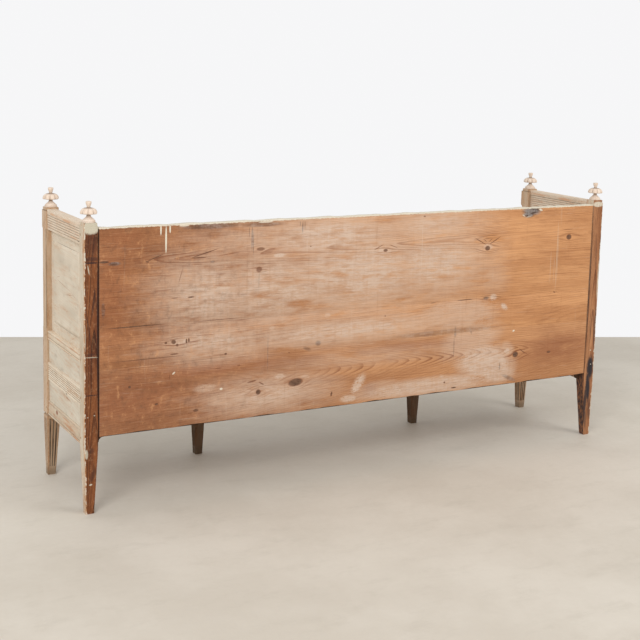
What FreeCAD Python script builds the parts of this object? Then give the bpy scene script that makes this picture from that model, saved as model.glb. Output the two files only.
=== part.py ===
import FreeCAD, Part
import Sketcher

import math
import os

# A long painted pine bench with high framed ends, six tapered legs, a boarded back and four
# turned finials. Z is up, X runs along the bench, the sitter faces -Y, and the origin is on
# the floor under the middle. "Right" is +X, as seen from the front.

doc = FreeCAD.newDocument("painted_bench")
sheet = doc.addObject("Spreadsheet::Sheet", "Sizes")
driving = []
nodes = []


class Dimension:
    """A length held as its value and as the sheet formula that gives it."""

    def __init__(self, formula, value):
        self.formula = formula
        self.value = value

    def joined(self, sign, other, value):
        return Dimension("(" + self.formula + " " + sign + " " + other.formula + ")", value)

    def __add__(self, other):
        other = as_dimension(other)
        return self.joined("+", other, self.value + other.value)

    def __sub__(self, other):
        other = as_dimension(other)
        return self.joined("-", other, self.value - other.value)

    def __mul__(self, other):
        other = as_dimension(other)
        return self.joined("*", other, self.value * other.value)

    def __truediv__(self, other):
        other = as_dimension(other)
        return self.joined("/", other, self.value / other.value)

    def __neg__(self):
        return Dimension("(0 - " + self.formula + ")", -self.value)

    def __rmul__(self, other):
        return as_dimension(other) * self


def as_dimension(term):
    """A Dimension as it is, or a plain count or share made one."""
    if isinstance(term, Dimension):
        return term
    return Dimension(str(term), float(term))


def size(alias, value, note):
    """Writes one driving dimension to the sheet and hands it back."""
    driving.append(alias)
    row = str(len(driving))
    sheet.set("A" + row, alias.replace("_", " "))
    sheet.set("B" + row, str(value))
    sheet.set("C" + row, note)
    sheet.setAlias("B" + row, alias)
    return Dimension("Sizes." + alias, float(value))


def bind(piece, field, term):
    """Binds one property of a piece to the sheet."""
    piece.setExpression(field, as_dimension(term).formula)


def bind_place(piece, x, y, z):
    """Binds where a piece's own origin stands."""
    for axis, term in zip("xyz", (x, y, z)):
        bind(piece, "Placement.Base." + axis, term)


zero = as_dimension(0)

# Overall sizes, over the outer faces of the corner posts.
length_over_posts = size("length_over_posts", 2000, "outer face to outer face of the end posts")
depth_over_posts = size("depth_over_posts", 430, "front face to back face of the posts")

# Corner posts and their stepped tops.
post_width = size("post_width", 44, "side of the square posts and middle legs")
post_top = size("post_top", 891, "height of the post below its top plate")
plate_height = size("plate_height", 10, "thickness of the square plate on the post")
plate_inset = size("plate_inset", 1.5, "how far the plate stands back from the post")
head_height = size("head_height", 56, "height of the front post's head block")
head_proud = size("head_proud", 4, "how far the head block stands in front of the post")
head_slope = size("head_slope", 6, "height of the chamfer under the head block")
head_lip = size("head_lip", 1, "thickness of that chamfer's lower edge")
shaft_setback = size("shaft_setback", 3, "how far the front shaft lies behind the lower block")
lower_block_top = size("lower_block_top", 505, "top of the front post's wider lower block")
lower_slope = size("lower_slope", 4, "height of the chamfer on top of the lower block")

# Tapered legs below the posts and middle stiles.
block_bottom = size("block_bottom", 213, "where the square block ends above the leg")
neck_height = size("neck_height", 7, "height of the sunk neck between block and leg")
neck_inset = size("neck_inset", 2.5, "how far the neck is sunk")
foot_width = size("foot_width", 26, "side of the square foot")
corner_foot_inset = size("corner_foot_inset", 5, "taper of a corner leg's outer face")
front_foot_inset = size("front_foot_inset", 6, "taper of a front corner leg's front face")
middle_foot_inset = size("middle_foot_inset", 12, "taper of a middle leg's front face")
plain_foot = size("plain_foot", 28, "plain foot below the flutes")
flute_margin = size("flute_margin", 10, "plain band above the flutes")
flute_depth = size("flute_depth", 2.4, "depth of a flute")
flute_width = size("flute_width", 7.5, "width of a flute at the top of the leg")
flute_pitch = size("flute_pitch", 11.5, "spacing of the flutes at the top of the leg")
flute_facets = 8
middle_leg_place = size("middle_leg_place", 453, "centre of the bench to a middle leg's axis")

# Rails and panels of the framed ends and front.
rail_thickness = size("rail_thickness", 30, "thickness of the frame rails")
rail_setback = size("rail_setback", 4, "rail face behind the post face")
top_rail_rise = size("top_rail_rise", 5, "end's top rail above the posts, below their plates")
top_rail_height = size("top_rail_height", 65, "height of the end's top rail")
arm_rail_top = size("arm_rail_top", 495, "top edge of the end's middle rail")
arm_rail_height = size("arm_rail_height", 30, "height of the end's middle rail")
seat_rail_top = size("seat_rail_top", 390, "top edge of the reeded seat rails")
seat_rail_height = size("seat_rail_height", 59, "height of the reeded seat rails")
bottom_rail_top = size("bottom_rail_top", 260, "top edge of the bottom rails")
bottom_rail_height = size("bottom_rail_height", 50, "height of the bottom rails")
reed_depth = size("reed_depth", 2, "depth of the valleys between reeds")
bead_proud = size("bead_proud", 1.5, "how far the large bead stands beyond the reeds")
top_bead_height = size("top_bead_height", 19, "height of the top rail's large bead")
seat_bead_height = size("seat_bead_height", 11, "height of the seat rail's large bead")
edge_bead_height = size("edge_bead_height", 8, "height of the beads on plain rails")
fillet_height = size("fillet_height", 7, "flat strip below the reeds")
top_reed_count = 5
seat_reed_count = 6

groove_width = size("groove_width", 10, "panel groove and tenon thickness")
groove_depth = size("groove_depth", 9, "depth of the panel grooves")
groove_inset = size("groove_inset", 17, "post face to the groove at an end")
front_groove_inset = size("front_groove_inset", 10, "post face to the groove at the front")
groove_slack = size("groove_slack", 0.3, "clearance at each cheek of a groove or mortise")
edge_slack = size("edge_slack", 1, "room at the end of a tongue, tenon or peg")
tenon_length = size("tenon_length", 20, "length of the rail tenons")
short_tenon = size("short_tenon", 13, "length of the front bottom rails' tenons")
tenon_shoulder = size("tenon_shoulder", 10, "plain shoulder above and below a tenon")
flush_panel_setback = size("flush_panel_setback", 6.5, "post face to the face of a low panel")
field_border = size("field_border", 34, "flat border round the raised field")
field_rise = size("field_rise", 5, "height of the raised field")
field_bevel = size("field_bevel", 9, "width of the bevel round the raised field")
peg_radius = size("peg_radius", 3.5, "radius over the corners of the riven pegs")
peg_length = size("peg_length", 32, "length of the wooden pegs")
peg_proud = size("peg_proud", 0.8, "how far a peg stands out of its post")
peg_sides = 6

# Boarded back.
board_thickness = size("board_thickness", 26, "thickness of the back boards")
back_drop = size("back_drop", 6, "top edge of the back below the posts' tops")
back_bottom = size("back_bottom", 242, "bottom edge of the back")
upper_joint = size("upper_joint", 568, "joint between the top and middle back boards")
lower_joint = size("lower_joint", 450, "joint between the middle and bottom back boards")
joint_gap = size("joint_gap", 0.6, "open line between two boards")
board_gap = size("board_gap", 2.5, "open line between a board's end and the post")
tongue_length = size("tongue_length", 8, "length of the tongues on the back boards")
back_rail_thickness = size("back_rail_thickness", 18, "thickness of the rails behind the back")
back_rail_tenon = size("back_rail_tenon", 12, "length of the back rails' tenons")
back_tenon_inset = size("back_tenon_inset", 2, "post face to the back rails' tenons")
back_foot_rail_bottom = size("back_foot_rail_bottom", 232, "underside of the lower back rail")
back_foot_rail_height = size("back_foot_rail_height", 50, "height of the lower back rail")
knee_drop = size("knee_drop", 16, "drop of the rounded knees at the lower rail's ends")
knee_length = size("knee_length", 26, "length of the rounded knees")
knee_flat = size("knee_flat", 10, "flat end of a knee beside the post")
knee_bow = size("knee_bow", 5, "hollow of a knee's curve")

# Seat.
seat_thickness = size("seat_thickness", 22, "thickness of the seat boards")
seat_gap = size("seat_gap", 2, "open line between seat boards and at their ends")
front_board_width = size("front_board_width", 140, "width of the front seat board")
middle_board_width = size("middle_board_width", 130, "width of the middle seat board")
nosing_bow = size("nosing_bow", 8, "rounding of the seat's front edge")
ledger_width = size("ledger_width", 20, "width of the end ledgers")
ledger_height = size("ledger_height", 24, "height of the end ledgers")
bearer_width = size("bearer_width", 45, "width of the seat bearers")
bearer_height = size("bearer_height", 30, "height of the seat bearers")
bearer_place = size("bearer_place", 480, "centre of the bench to an outer bearer's middle")

# Turned finials. Heights are measured from the finial's foot.
finial_base_radius = size("finial_base_radius", 20.5, "radius of the finial's foot")
finial_base_edge = size("finial_base_edge", 3, "upright edge of the finial's foot")
bell_radius = size("bell_radius", 10.5, "radius at the top of the bell")
bell_top = size("bell_top", 14, "height of the bell")
bell_shoulder = size("bell_shoulder", 17.3, "radius where the bell turns in")
bell_shoulder_height = size("bell_shoulder_height", 9.8, "height where the bell turns in")
stem_radius = size("stem_radius", 6.5, "radius of the stem")
stem_bottom = size("stem_bottom", 20, "where the stem starts")
rim_bottom = size("rim_bottom", 24.5, "underside of the cap's rim")
rim_inner_radius = size("rim_inner_radius", 23.5, "radius of the cap's underside")
cap_radius = size("cap_radius", 26.5, "widest radius of the cap")
cap_widest = size("cap_widest", 27.8, "height of the widest part of the cap")
cap_shoulder = size("cap_shoulder", 21.5, "radius where the cap turns in")
cap_shoulder_height = size("cap_shoulder_height", 36, "height where the cap turns in")
cap_top = size("cap_top", 43.5, "top of the cap")
cap_top_radius = size("cap_top_radius", 8, "radius at the top of the cap")
neck_radius = size("neck_radius", 5.5, "radius of the finial's neck")
knob_radius = size("knob_radius", 8.85, "widest radius of the knob")
knob_side_top = size("knob_side_top", 61, "top of the knob's side")
knob_top_radius = size("knob_top_radius", 7, "radius of the knob's flat top")
finial_height = size("finial_height", 63, "height of the finial above its plate")
spigot_radius = size("spigot_radius", 6, "radius over the corners of the finial's tenon")
spigot_length = size("spigot_length", 22, "length of the finial's tenon")
spigot_sides = 6
lobe_count = 8
lobe_width_share = 0.62
notch_share = 0.85

# Places that follow from those sizes.
outer_x = length_over_posts / 2
inner_x = outer_x - post_width
back_y = depth_over_posts / 2
front_y = -back_y
back_inner_y = back_y - post_width
front_inner_y = front_y + post_width
post_x = outer_x - post_width / 2
post_y = back_y - post_width / 2
rail_outer_x = outer_x - rail_setback
rail_inner_x = rail_outer_x - rail_thickness
groove_outer_x = outer_x - groove_inset
groove_inner_x = groove_outer_x - groove_width
rail_front_y = front_y + rail_setback
rail_rear_y = rail_front_y + rail_thickness
groove_front_y = front_y + front_groove_inset
groove_rear_y = groove_front_y + groove_width
plate_top = post_top + plate_height
head_bottom = post_top - head_height
top_rail_top = post_top + top_rail_rise
back_top = post_top - back_drop
leg_top = block_bottom - neck_height
board_front_y = back_y - board_thickness
stile_inner_x = middle_leg_place - post_width / 2
stile_outer_x = middle_leg_place + post_width / 2
top_rail_bottom = top_rail_top - top_rail_height
arm_rail_bottom = arm_rail_top - arm_rail_height
seat_rail_bottom = seat_rail_top - seat_rail_height
bottom_rail_bottom = bottom_rail_top - bottom_rail_height
bore_radius = peg_radius + groove_slack


def finished(piece, label):
    """Names a finished sub-part."""
    piece.Label = label
    nodes.append(piece)
    return piece


def block(name, x, y, z):
    """A squared piece of timber between pairs of lowest and highest places."""
    piece = doc.addObject("Part::Box", name)
    for side, (low, high) in zip(("Length", "Width", "Height"), (x, y, z)):
        bind(piece, side, as_dimension(high) - low)
    bind_place(piece, x[0], y[0], z[0])
    return piece


def together(name, pieces):
    """Several solids made one, or the one piece there is."""
    if len(pieces) == 1:
        return pieces[0]
    piece = doc.addObject("Part::MultiFuse", name)
    piece.Shapes = pieces
    piece.Refine = True
    return piece


def grouped(name, pieces):
    """Several solids kept apart in one object."""
    piece = doc.addObject("Part::Compound", name)
    piece.Links = pieces
    return piece


def without(name, base, tools):
    """A piece with the tools' shapes cut out of it."""
    piece = doc.addObject("Part::Cut", name)
    piece.Base = base
    piece.Tool = together(name + "_cutters", tools)
    piece.Refine = True
    return piece


def mirrored(source, label, normal):
    """The same piece for the other end, or for the other side, of the bench."""
    piece = doc.addObject("Part::Mirroring", label)
    piece.Source = source
    piece.Normal = normal
    return finished(piece, label)


def tapered(name, low, high, z):
    """A squared stick that tapers from the rectangle low to the rectangle high.

    A wedge tapers along its own Y axis, so a quarter turn stands it up: its Z runs along -Y.
    """
    piece = doc.addObject("Part::Wedge", name)
    (low_x, low_y), (high_x, high_y) = low, high
    for field, term in (("Xmin", low_x[0]), ("Xmax", low_x[1]), ("X2min", high_x[0]),
                        ("X2max", high_x[1]), ("Ymin", z[0]), ("Ymax", z[1]),
                        ("Zmin", -low_y[1]), ("Zmax", -low_y[0]),
                        ("Z2min", -high_y[1]), ("Z2max", -high_y[0])):
        bind(piece, field, term)
    piece.Placement.Rotation = FreeCAD.Rotation(FreeCAD.Vector(1, 0, 0), 90)
    return piece


def body_plane(body, role):
    """One of a body's own origin planes."""
    return [plane for plane in body.Origin.OriginFeatures if plane.Role == role][0]


def hold_point(sketch, edge, point, across, up):
    """Ties one point of a sketch to the sheet, or to an axis where its place is zero."""
    for kind, axis, term in (("DistanceX", -2, across), ("DistanceY", -1, up)):
        if term.value == 0:
            sketch.addConstraint(Sketcher.Constraint("PointOnObject", edge, point, axis))
            continue
        number = sketch.addConstraint(Sketcher.Constraint(
            kind, -1, 1, edge, point, term.value))
        sketch.setExpression("Constraints[" + str(number) + "]", term.formula)


def outline(body, name, role, corners):
    """A closed sketch through corners (across, up, bow), taken anticlockwise.

    The run to the next corner is straight where bow is zero, and otherwise an arc that rises
    outwards by bow. Each corner is tied to the origin and each arc's radius to its rise.
    """
    sketch = body.newObject("Sketcher::SketchObject", name)
    sketch.AttachmentSupport = (body_plane(body, role), [""])
    sketch.MapMode = "FlatFace"
    corners = [tuple(as_dimension(term) for term in corner) for corner in corners]
    points = [FreeCAD.Vector(across.value, up.value, 0) for across, up, bow in corners]
    edges = []
    radii = {}
    for index, (across, up, bow) in enumerate(corners):
        following = (index + 1) % len(corners)
        start, end = points[index], points[following]
        if bow.value == 0:
            edges.append(Part.LineSegment(start, end))
            continue
        run = end - start
        outward = FreeCAD.Vector(run.y, -run.x, 0).normalize()
        edges.append(Part.Arc(start, (start + end) * 0.5 + outward * bow.value, end))
        run_across = corners[following][0] - across
        run_up = corners[following][1] - up
        half_chord_squared = (run_across * run_across + run_up * run_up) / 4
        rise = -bow if bow.value < 0 else bow
        radii[index] = (half_chord_squared + rise * rise) / (2 * rise)
    sketch.addGeometry(edges, False)

    def end_at(index, point):
        """Which end of an edge lies at a point: 1 is its start and 2 its end."""
        return 1 if (sketch.getPoint(index, 1) - point).Length < (
            sketch.getPoint(index, 2) - point).Length else 2

    for index, (across, up, bow) in enumerate(corners):
        before = (index - 1) % len(corners)
        here = end_at(index, points[index])
        there = end_at(before, points[index])
        sketch.addConstraint(Sketcher.Constraint("Coincident", before, there, index, here))
        hold_point(sketch, index, here, across, up)
        if index in radii:
            number = sketch.addConstraint(Sketcher.Constraint(
                "Radius", index, radii[index].value))
            sketch.setExpression("Constraints[" + str(number) + "]", radii[index].formula)
    return sketch


def padded(body, sketch, length, name):
    """Pads a sketch by a length, half to each side of its plane."""
    pad = body.newObject("PartDesign::Pad", name)
    pad.Profile = sketch
    pad.SideType = "Symmetric"
    bind(pad, "Length", length)
    sketch.Visibility = False
    return pad


def reeded_face(face, low, high, bead_height, count, inwards):
    """One moulded face as outline corners, from its low edge up: a flat strip, then reeds, then
    a large bead. Inwards is the way into the wood, -1 where the wood lies below the face."""
    valley = face + reed_depth * inwards
    reeds_low = low + fillet_height
    reeds_high = high - bead_height
    corners = [(face, low, zero), (face, reeds_low, zero)]
    for reed in range(count):
        share = as_dimension(reed) / count
        corners.append((valley, reeds_low + (reeds_high - reeds_low) * share, reed_depth))
    corners.append((valley, reeds_high, reed_depth + bead_proud))
    corners.append((valley, high, zero))
    return corners


def beaded_face(face, low, high, inwards):
    """A plain face with a small bead along its top and bottom edges."""
    valley = face + reed_depth * inwards
    return [(valley, low, reed_depth), (valley, low + edge_bead_height, zero),
            (face, low + edge_bead_height, zero), (face, high - edge_bead_height, zero),
            (valley, high - edge_bead_height, reed_depth), (valley, high, zero)]


def downwards(corners):
    """The same face taken from its top to its bottom, with each bow on its own run."""
    bows = [corner[2] for corner in corners[:-1]]
    turned = corners[::-1]
    return [(across, up, bow) for (across, up, old), bow in zip(turned, bows[::-1] + [zero])]


def groove_corners(low_cheek, high_cheek, edge, depth, upwards):
    """A square groove in a rail's edge, taken in the outline's own direction."""
    low_cheek = low_cheek - groove_slack
    high_cheek = high_cheek + groove_slack
    if upwards:
        return [(low_cheek, edge, zero), (low_cheek, edge + depth, zero),
                (high_cheek, edge + depth, zero), (high_cheek, edge, zero)]
    return [(high_cheek, edge, zero), (high_cheek, edge - depth, zero),
            (low_cheek, edge - depth, zero), (low_cheek, edge, zero)]


def peg_shape(name, place, radius, length, direction):
    """A riven eight-sided peg, or the hole it fills, from a place along +X, +Y or up."""
    peg = doc.addObject("Part::Prism", name)
    peg.Polygon = peg_sides
    bind(peg, "Circumradius", radius)
    bind(peg, "Height", length)
    peg.Placement.Rotation = {
        "x": FreeCAD.Rotation(FreeCAD.Vector(0, 1, 0), 90),
        "y": FreeCAD.Rotation(FreeCAD.Vector(1, 0, 0), -90),
        "z": FreeCAD.Rotation()}[direction]
    bind_place(peg, *place)
    return peg


def rail(label, span, tenons, faces, cheeks, z, grooved):
    """A frame rail padded from its moulded profile, with its tenons.

    Span is the length between posts, faces are the rail's inner and outer face corners, cheeks
    the two sides of its tenons and grooves, and grooved says which edges hold panels.
    """
    body = doc.addObject("PartDesign::Body", label + "_body")
    inner, outer = faces
    low, high = z
    room = groove_depth + edge_slack
    corners = []
    if "bottom" in grooved:
        corners += groove_corners(cheeks[0], cheeks[1], low, room, True)
    corners += outer
    if "top" in grooved:
        corners += groove_corners(cheeks[0], cheeks[1], high, room, False)
    corners += downwards(inner)
    profile = outline(body, label + "_profile", "XZ_Plane", corners)
    padded(body, profile, span, label + "_stick")
    tenon_low = low + tenon_shoulder
    tenon_high = high - tenon_shoulder
    tenon = outline(body, label + "_tenon_profile", "XZ_Plane",
                    [(cheeks[0], tenon_low, zero), (cheeks[1], tenon_low, zero),
                     (cheeks[1], tenon_high, zero), (cheeks[0], tenon_high, zero)])
    padded(body, tenon, span + 2 * tenons, label + "_tenons")
    return body


# Framed ends. Both are alike: four rails between a front and a back post, with a raised panel
# over the middle rail and two panels under it, their faces nearly level with the rails. Every
# rail has a reeded or beaded face.
end_span = back_inner_y - front_inner_y
end_cheeks = (groove_inner_x, groove_outer_x)
end_peg_places = [front_inner_y - tenon_length / 2, back_inner_y + tenon_length / 2]
end_rail_places = {
    "top_rail": (top_rail_bottom, top_rail_top),
    "middle_rail": (arm_rail_bottom, arm_rail_top),
    "seat_rail": (seat_rail_bottom, seat_rail_top),
    "bottom_rail": (bottom_rail_bottom, bottom_rail_top),
}
end_pieces = []


def end_rail(kind, outer, inner, grooved):
    """One rail of the right end."""
    label = "right_end_" + kind
    low, high = end_rail_places[kind]
    body = rail(label, end_span, tenon_length, (inner, outer), end_cheeks, (low, high), grooved)
    holes = [peg_shape(label + "_hole_" + side, (rail_inner_x, place, (low + high) / 2),
                       bore_radius, rail_thickness, "x")
             for side, place in zip(("front", "back"), end_peg_places)]
    end_pieces.append(finished(without(label, body, holes), label))


def end_plain_face(low, high):
    """The flat inner face of an end rail."""
    return [(rail_inner_x, low, zero), (rail_inner_x, high, zero)]


low, high = end_rail_places["top_rail"]
end_rail("top_rail",
         reeded_face(rail_outer_x, low, high, top_bead_height, top_reed_count, -1),
         reeded_face(rail_inner_x, low, high, top_bead_height, top_reed_count, 1),
         ("bottom",))
low, high = end_rail_places["middle_rail"]
end_rail("middle_rail", beaded_face(rail_outer_x, low, high, -1),
         beaded_face(rail_inner_x, low, high, 1), ("bottom", "top"))
low, high = end_rail_places["seat_rail"]
end_rail("seat_rail",
         reeded_face(rail_outer_x, low, high, seat_bead_height, seat_reed_count, -1),
         end_plain_face(low, high), ("bottom", "top"))
low, high = end_rail_places["bottom_rail"]
end_rail("bottom_rail", beaded_face(rail_outer_x, low, high, -1),
         end_plain_face(low, high), ("top",))


def end_panel(kind, low_rail, high_rail):
    """A panel whose edges lie in the grooves of the posts and of the rails beside it."""
    name = "right_end_" + kind
    return block(name, end_cheeks,
                 (front_inner_y - groove_depth, back_inner_y + groove_depth),
                 (end_rail_places[low_rail][1] - groove_depth,
                  end_rail_places[high_rail][0] + groove_depth))


upper_panel = end_panel("upper_panel_board", "middle_rail", "top_rail")
field_y = (front_inner_y + field_border, back_inner_y - field_border)
field_z = (arm_rail_top + field_border, top_rail_bottom - field_border)
field = doc.addObject("Part::Wedge", "right_end_raised_field")
for place_name, place in (
        ("Xmin", -field_y[1]), ("Xmax", -field_y[0]),
        ("X2min", -field_y[1] + field_bevel), ("X2max", -field_y[0] - field_bevel),
        ("Zmin", field_z[0]), ("Zmax", field_z[1]),
        ("Z2min", field_z[0] + field_bevel), ("Z2max", field_z[1] - field_bevel),
        ("Ymin", zero), ("Ymax", field_rise)):
    bind(field, place_name, place)
# The wedge's own Y, its taper, is turned to X, and its own X to -Y.
field.Placement.Rotation = FreeCAD.Rotation(FreeCAD.Vector(0, 0, 1), -90)
bind_place(field, groove_outer_x, zero, zero)
end_pieces.append(finished(together("right_end_upper_panel", [upper_panel, field]),
                           "right_end_upper_panel"))
for kind, low_rail, high_rail in (("narrow_panel", "seat_rail", "middle_rail"),
                                  ("lower_panel", "bottom_rail", "seat_rail")):
    face = block("right_end_" + kind + "_face", (groove_outer_x, outer_x - flush_panel_setback),
                 (front_inner_y + groove_slack, back_inner_y - groove_slack),
                 (end_rail_places[low_rail][1] + groove_slack,
                  end_rail_places[high_rail][0] - groove_slack))
    board = end_panel(kind + "_board", low_rail, high_rail)
    end_pieces.append(finished(together("right_end_" + kind, [board, face]),
                               "right_end_" + kind))


# Cuts in the corner posts. Mortises take the end rails' tenons, long grooves take the panels'
# edges, and the front posts also take the rails and panels of the front.
def end_mortises(name, y, groove_y):
    """The mortises and panel groove in a post's face towards its neighbour at the same end."""
    cuts = []
    for kind, (low, high) in end_rail_places.items():
        cuts.append(block(name + "_mortise_" + kind,
                          (groove_inner_x - groove_slack, groove_outer_x + groove_slack), y,
                          (low + tenon_shoulder - groove_slack,
                           high - tenon_shoulder + groove_slack)))
    for kind, low_rail, high_rail in (("upper", "middle_rail", "top_rail"),
                                      ("narrow", "seat_rail", "middle_rail"),
                                      ("lower", "bottom_rail", "seat_rail")):
        cuts.append(block(name + "_groove_" + kind,
                          (groove_inner_x - groove_slack, groove_outer_x + groove_slack),
                          groove_y,
                          (end_rail_places[low_rail][1] - groove_depth - edge_slack,
                           end_rail_places[high_rail][0] + groove_depth + edge_slack)))
    return cuts


end_peg_start = outer_x + peg_proud - peg_length
front_rail_places = {kind: end_rail_places[kind] for kind in ("seat_rail", "bottom_rail")}
front_tenons = {"seat_rail": tenon_length, "bottom_rail": short_tenon}


def end_peg_bores(name, y):
    """The peg holes through a post's outer face."""
    return [peg_shape(name + "_peg_bore_" + kind,
                      (end_peg_start - edge_slack, y, (low + high) / 2),
                      bore_radius, peg_length + edge_slack * 2, "x")
            for kind, (low, high) in end_rail_places.items()]


def post_trunk(name, y, z):
    """The square trunk of a corner post with the plate on top."""
    trunk = block(name + "_trunk", (inner_x, outer_x), y, z)
    plate = block(name + "_plate", (inner_x + plate_inset, outer_x - plate_inset),
                  (y[0] + plate_inset, y[1] - plate_inset), (post_top, plate_top))
    return [trunk, plate]


def spigot_bore(name, y):
    """The mortise for the finial's tenon."""
    return peg_shape(name + "_spigot_bore", (post_x, y, plate_top - spigot_length - edge_slack),
                     spigot_radius + groove_slack, spigot_length + edge_slack * 2, "z")


def flute(name, ends_of_flute):
    """A hollow that runs down a tapered face and narrows with it, between two gouged ends."""
    ends = []
    for part, ((x, y, z), radius) in zip(("top", "low"), ends_of_flute):
        ring = doc.addObject("Part::RegularPolygon", name + "_" + part)
        ring.Polygon = flute_facets
        bind(ring, "Circumradius", radius)
        bind_place(ring, x, y, z)
        ends.append(ring)
    hollow = doc.addObject("Part::Loft", name)
    hollow.Sections = ends
    hollow.Solid = True
    hollow.Ruled = True
    return hollow


def leg_flutes(name, top, foot, sides):
    """Three flutes on each given side of a tapered leg, between its plain foot and top band."""
    (top_x, top_y), (foot_x, foot_y) = top, foot
    radius = (flute_width * flute_width / 4 + flute_depth * flute_depth) / (2 * flute_depth)
    stand_off = radius - flute_depth

    def at(z, low, high):
        """The place of a face at height z, between its foot and its top."""
        return low + (high - low) * (z / leg_top)

    hollows = []
    for side in sides:
        for number in (-1, 0, 1):
            ends = []
            for z in (leg_top - flute_margin, plain_foot):
                x_pair = (at(z, foot_x[0], top_x[0]), at(z, foot_x[1], top_x[1]))
                y_pair = (at(z, foot_y[0], top_y[0]), at(z, foot_y[1], top_y[1]))
                factor = (x_pair[1] - x_pair[0]) / post_width
                along = flute_pitch * factor * number
                away = stand_off * factor
                middle_x = (x_pair[0] + x_pair[1]) / 2
                middle_y = (y_pair[0] + y_pair[1]) / 2
                centre = {"outer": (x_pair[1] + away, middle_y + along, z),
                          "inner": (x_pair[0] - away, middle_y + along, z),
                          "front": (middle_x + along, y_pair[0] - away, z),
                          "rear": (middle_x + along, y_pair[1] + away, z)}[side]
                ends.append((centre, radius * factor))
            hollows.append(flute(name + "_flute_" + side + str(number + 2), ends))
    return hollows


def fluted_leg(name, x, y, foot_x, foot_y, sides):
    """The sunk neck and the tapered leg under a square block."""
    neck = block(name + "_neck", (x[0] + neck_inset, x[1] - neck_inset),
                 (y[0] + neck_inset, y[1] - neck_inset), (leg_top, block_bottom))
    stick = tapered(name + "_taper", (foot_x, foot_y), (x, y), (zero, leg_top))
    if not sides:
        return [neck, stick]
    return [neck, without(name + "_fluted_taper", stick,
                          leg_flutes(name, (x, y), (foot_x, foot_y), sides))]


post_xs = (inner_x, outer_x)
corner_foot_xs = (outer_x - corner_foot_inset - foot_width, outer_x - corner_foot_inset)
end_posts = []

# Front corner posts: a head block that stands forward over a slimmer shaft, a wider lower
# block beside the seat, and a fluted leg.
front_ys = (front_y, front_inner_y)
front_parts = post_trunk("right_front_post", front_ys, (block_bottom, post_top))
front_foot_ys = (front_y + front_foot_inset, front_y + front_foot_inset + foot_width)
head_block = block("right_front_post_head", post_xs, (front_y - head_proud, front_y),
                   (head_bottom, post_top))
head_chamfer = tapered("right_front_post_head_chamfer",
                       (post_xs, (front_y - head_lip, front_y)),
                       (post_xs, (front_y - head_proud, front_y)),
                       (head_bottom - head_slope, head_bottom))
front_parts += [head_block, head_chamfer]
front_parts += fluted_leg("right_front_post", post_xs, front_ys, corner_foot_xs, front_foot_ys,
                          ("outer", "inner", "front", "rear"))
shaft_cut = tapered("right_front_post_shaft_cut",
                    (post_xs, (front_y - edge_slack, front_y)),
                    (post_xs, (front_y - edge_slack, front_y + shaft_setback)),
                    (lower_block_top - lower_slope, lower_block_top))
shaft_face = block("right_front_post_shaft_face", post_xs,
                   (front_y - edge_slack, front_y + shaft_setback),
                   (lower_block_top, head_bottom - head_slope))
front_cuts = end_mortises("right_front_post",
                          (front_inner_y - tenon_length - edge_slack, front_inner_y),
                          (front_inner_y - groove_depth - edge_slack, front_inner_y))
front_cuts += end_peg_bores("right_front_post", end_peg_places[0])
for kind, (low, high) in front_rail_places.items():
    front_cuts.append(block("right_front_post_front_mortise_" + kind,
                            (inner_x, inner_x + front_tenons[kind] + edge_slack),
                            (groove_front_y - groove_slack, groove_rear_y + groove_slack),
                            (low + tenon_shoulder - groove_slack,
                             high - tenon_shoulder + groove_slack)))
    front_cuts.append(peg_shape("right_front_post_front_bore_" + kind,
                                (inner_x + front_tenons[kind] / 2, front_y - edge_slack,
                                 (low + high) / 2),
                                bore_radius, peg_length + edge_slack, "y"))
front_cuts.append(block("right_front_post_front_groove",
                        (inner_x, inner_x + groove_depth + edge_slack),
                        (groove_front_y - groove_slack, groove_rear_y + groove_slack),
                        (bottom_rail_top - groove_depth - edge_slack,
                         seat_rail_bottom + groove_depth + edge_slack)))
front_cuts.append(spigot_bore("right_front_post", -post_y))
right_front_post = without("right_front_post", together("right_front_post_stock", front_parts),
                           [shaft_cut, shaft_face] + front_cuts)
end_posts.append(finished(right_front_post, "right_front_post"))

# Back corner posts: plain squared posts whose legs taper on the inner sides only, grooved for
# the back boards and mortised for the two rails behind them.
back_ys = (back_inner_y, back_y)
tongue_front_y = board_front_y + (board_thickness - groove_width) / 2
tongue_rear_y = tongue_front_y + groove_width
back_rail_ys = (board_front_y - back_rail_thickness, board_front_y)
back_tenon_front_y = back_inner_y + back_tenon_inset
back_tenon_ys = (back_tenon_front_y, back_tenon_front_y + groove_width)
back_rail_places = {
    "back_seat_rail": (seat_rail_bottom, seat_rail_top),
    "back_bottom_rail": (back_foot_rail_bottom, back_foot_rail_bottom + back_foot_rail_height),
}
back_parts = post_trunk("right_back_post", back_ys, (leg_top, post_top))
back_parts.append(tapered("right_back_post_leg",
                          (corner_foot_xs, (back_y - foot_width, back_y)),
                          (post_xs, back_ys), (zero, leg_top)))
back_cuts = end_mortises("right_back_post",
                         (back_inner_y, back_inner_y + tenon_length + edge_slack),
                         (back_inner_y, back_inner_y + groove_depth + edge_slack))
back_cuts += end_peg_bores("right_back_post", end_peg_places[1])
back_cuts.append(block("right_back_post_board_groove",
                       (inner_x, inner_x + tongue_length - board_gap + edge_slack),
                       (tongue_front_y - groove_slack, tongue_rear_y + groove_slack),
                       (back_bottom, back_top + edge_slack)))
for kind, (low, high) in back_rail_places.items():
    back_cuts.append(block("right_back_post_mortise_" + kind,
                           (inner_x, inner_x + back_rail_tenon + edge_slack),
                           (back_tenon_ys[0] - groove_slack, back_tenon_ys[1] + groove_slack),
                           (low + tenon_shoulder - groove_slack,
                            high - tenon_shoulder + groove_slack)))
back_cuts.append(spigot_bore("right_back_post", post_y))
right_back_post = without("right_back_post", together("right_back_post_stock", back_parts),
                          back_cuts)
end_posts.append(finished(right_back_post, "right_back_post"))

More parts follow.
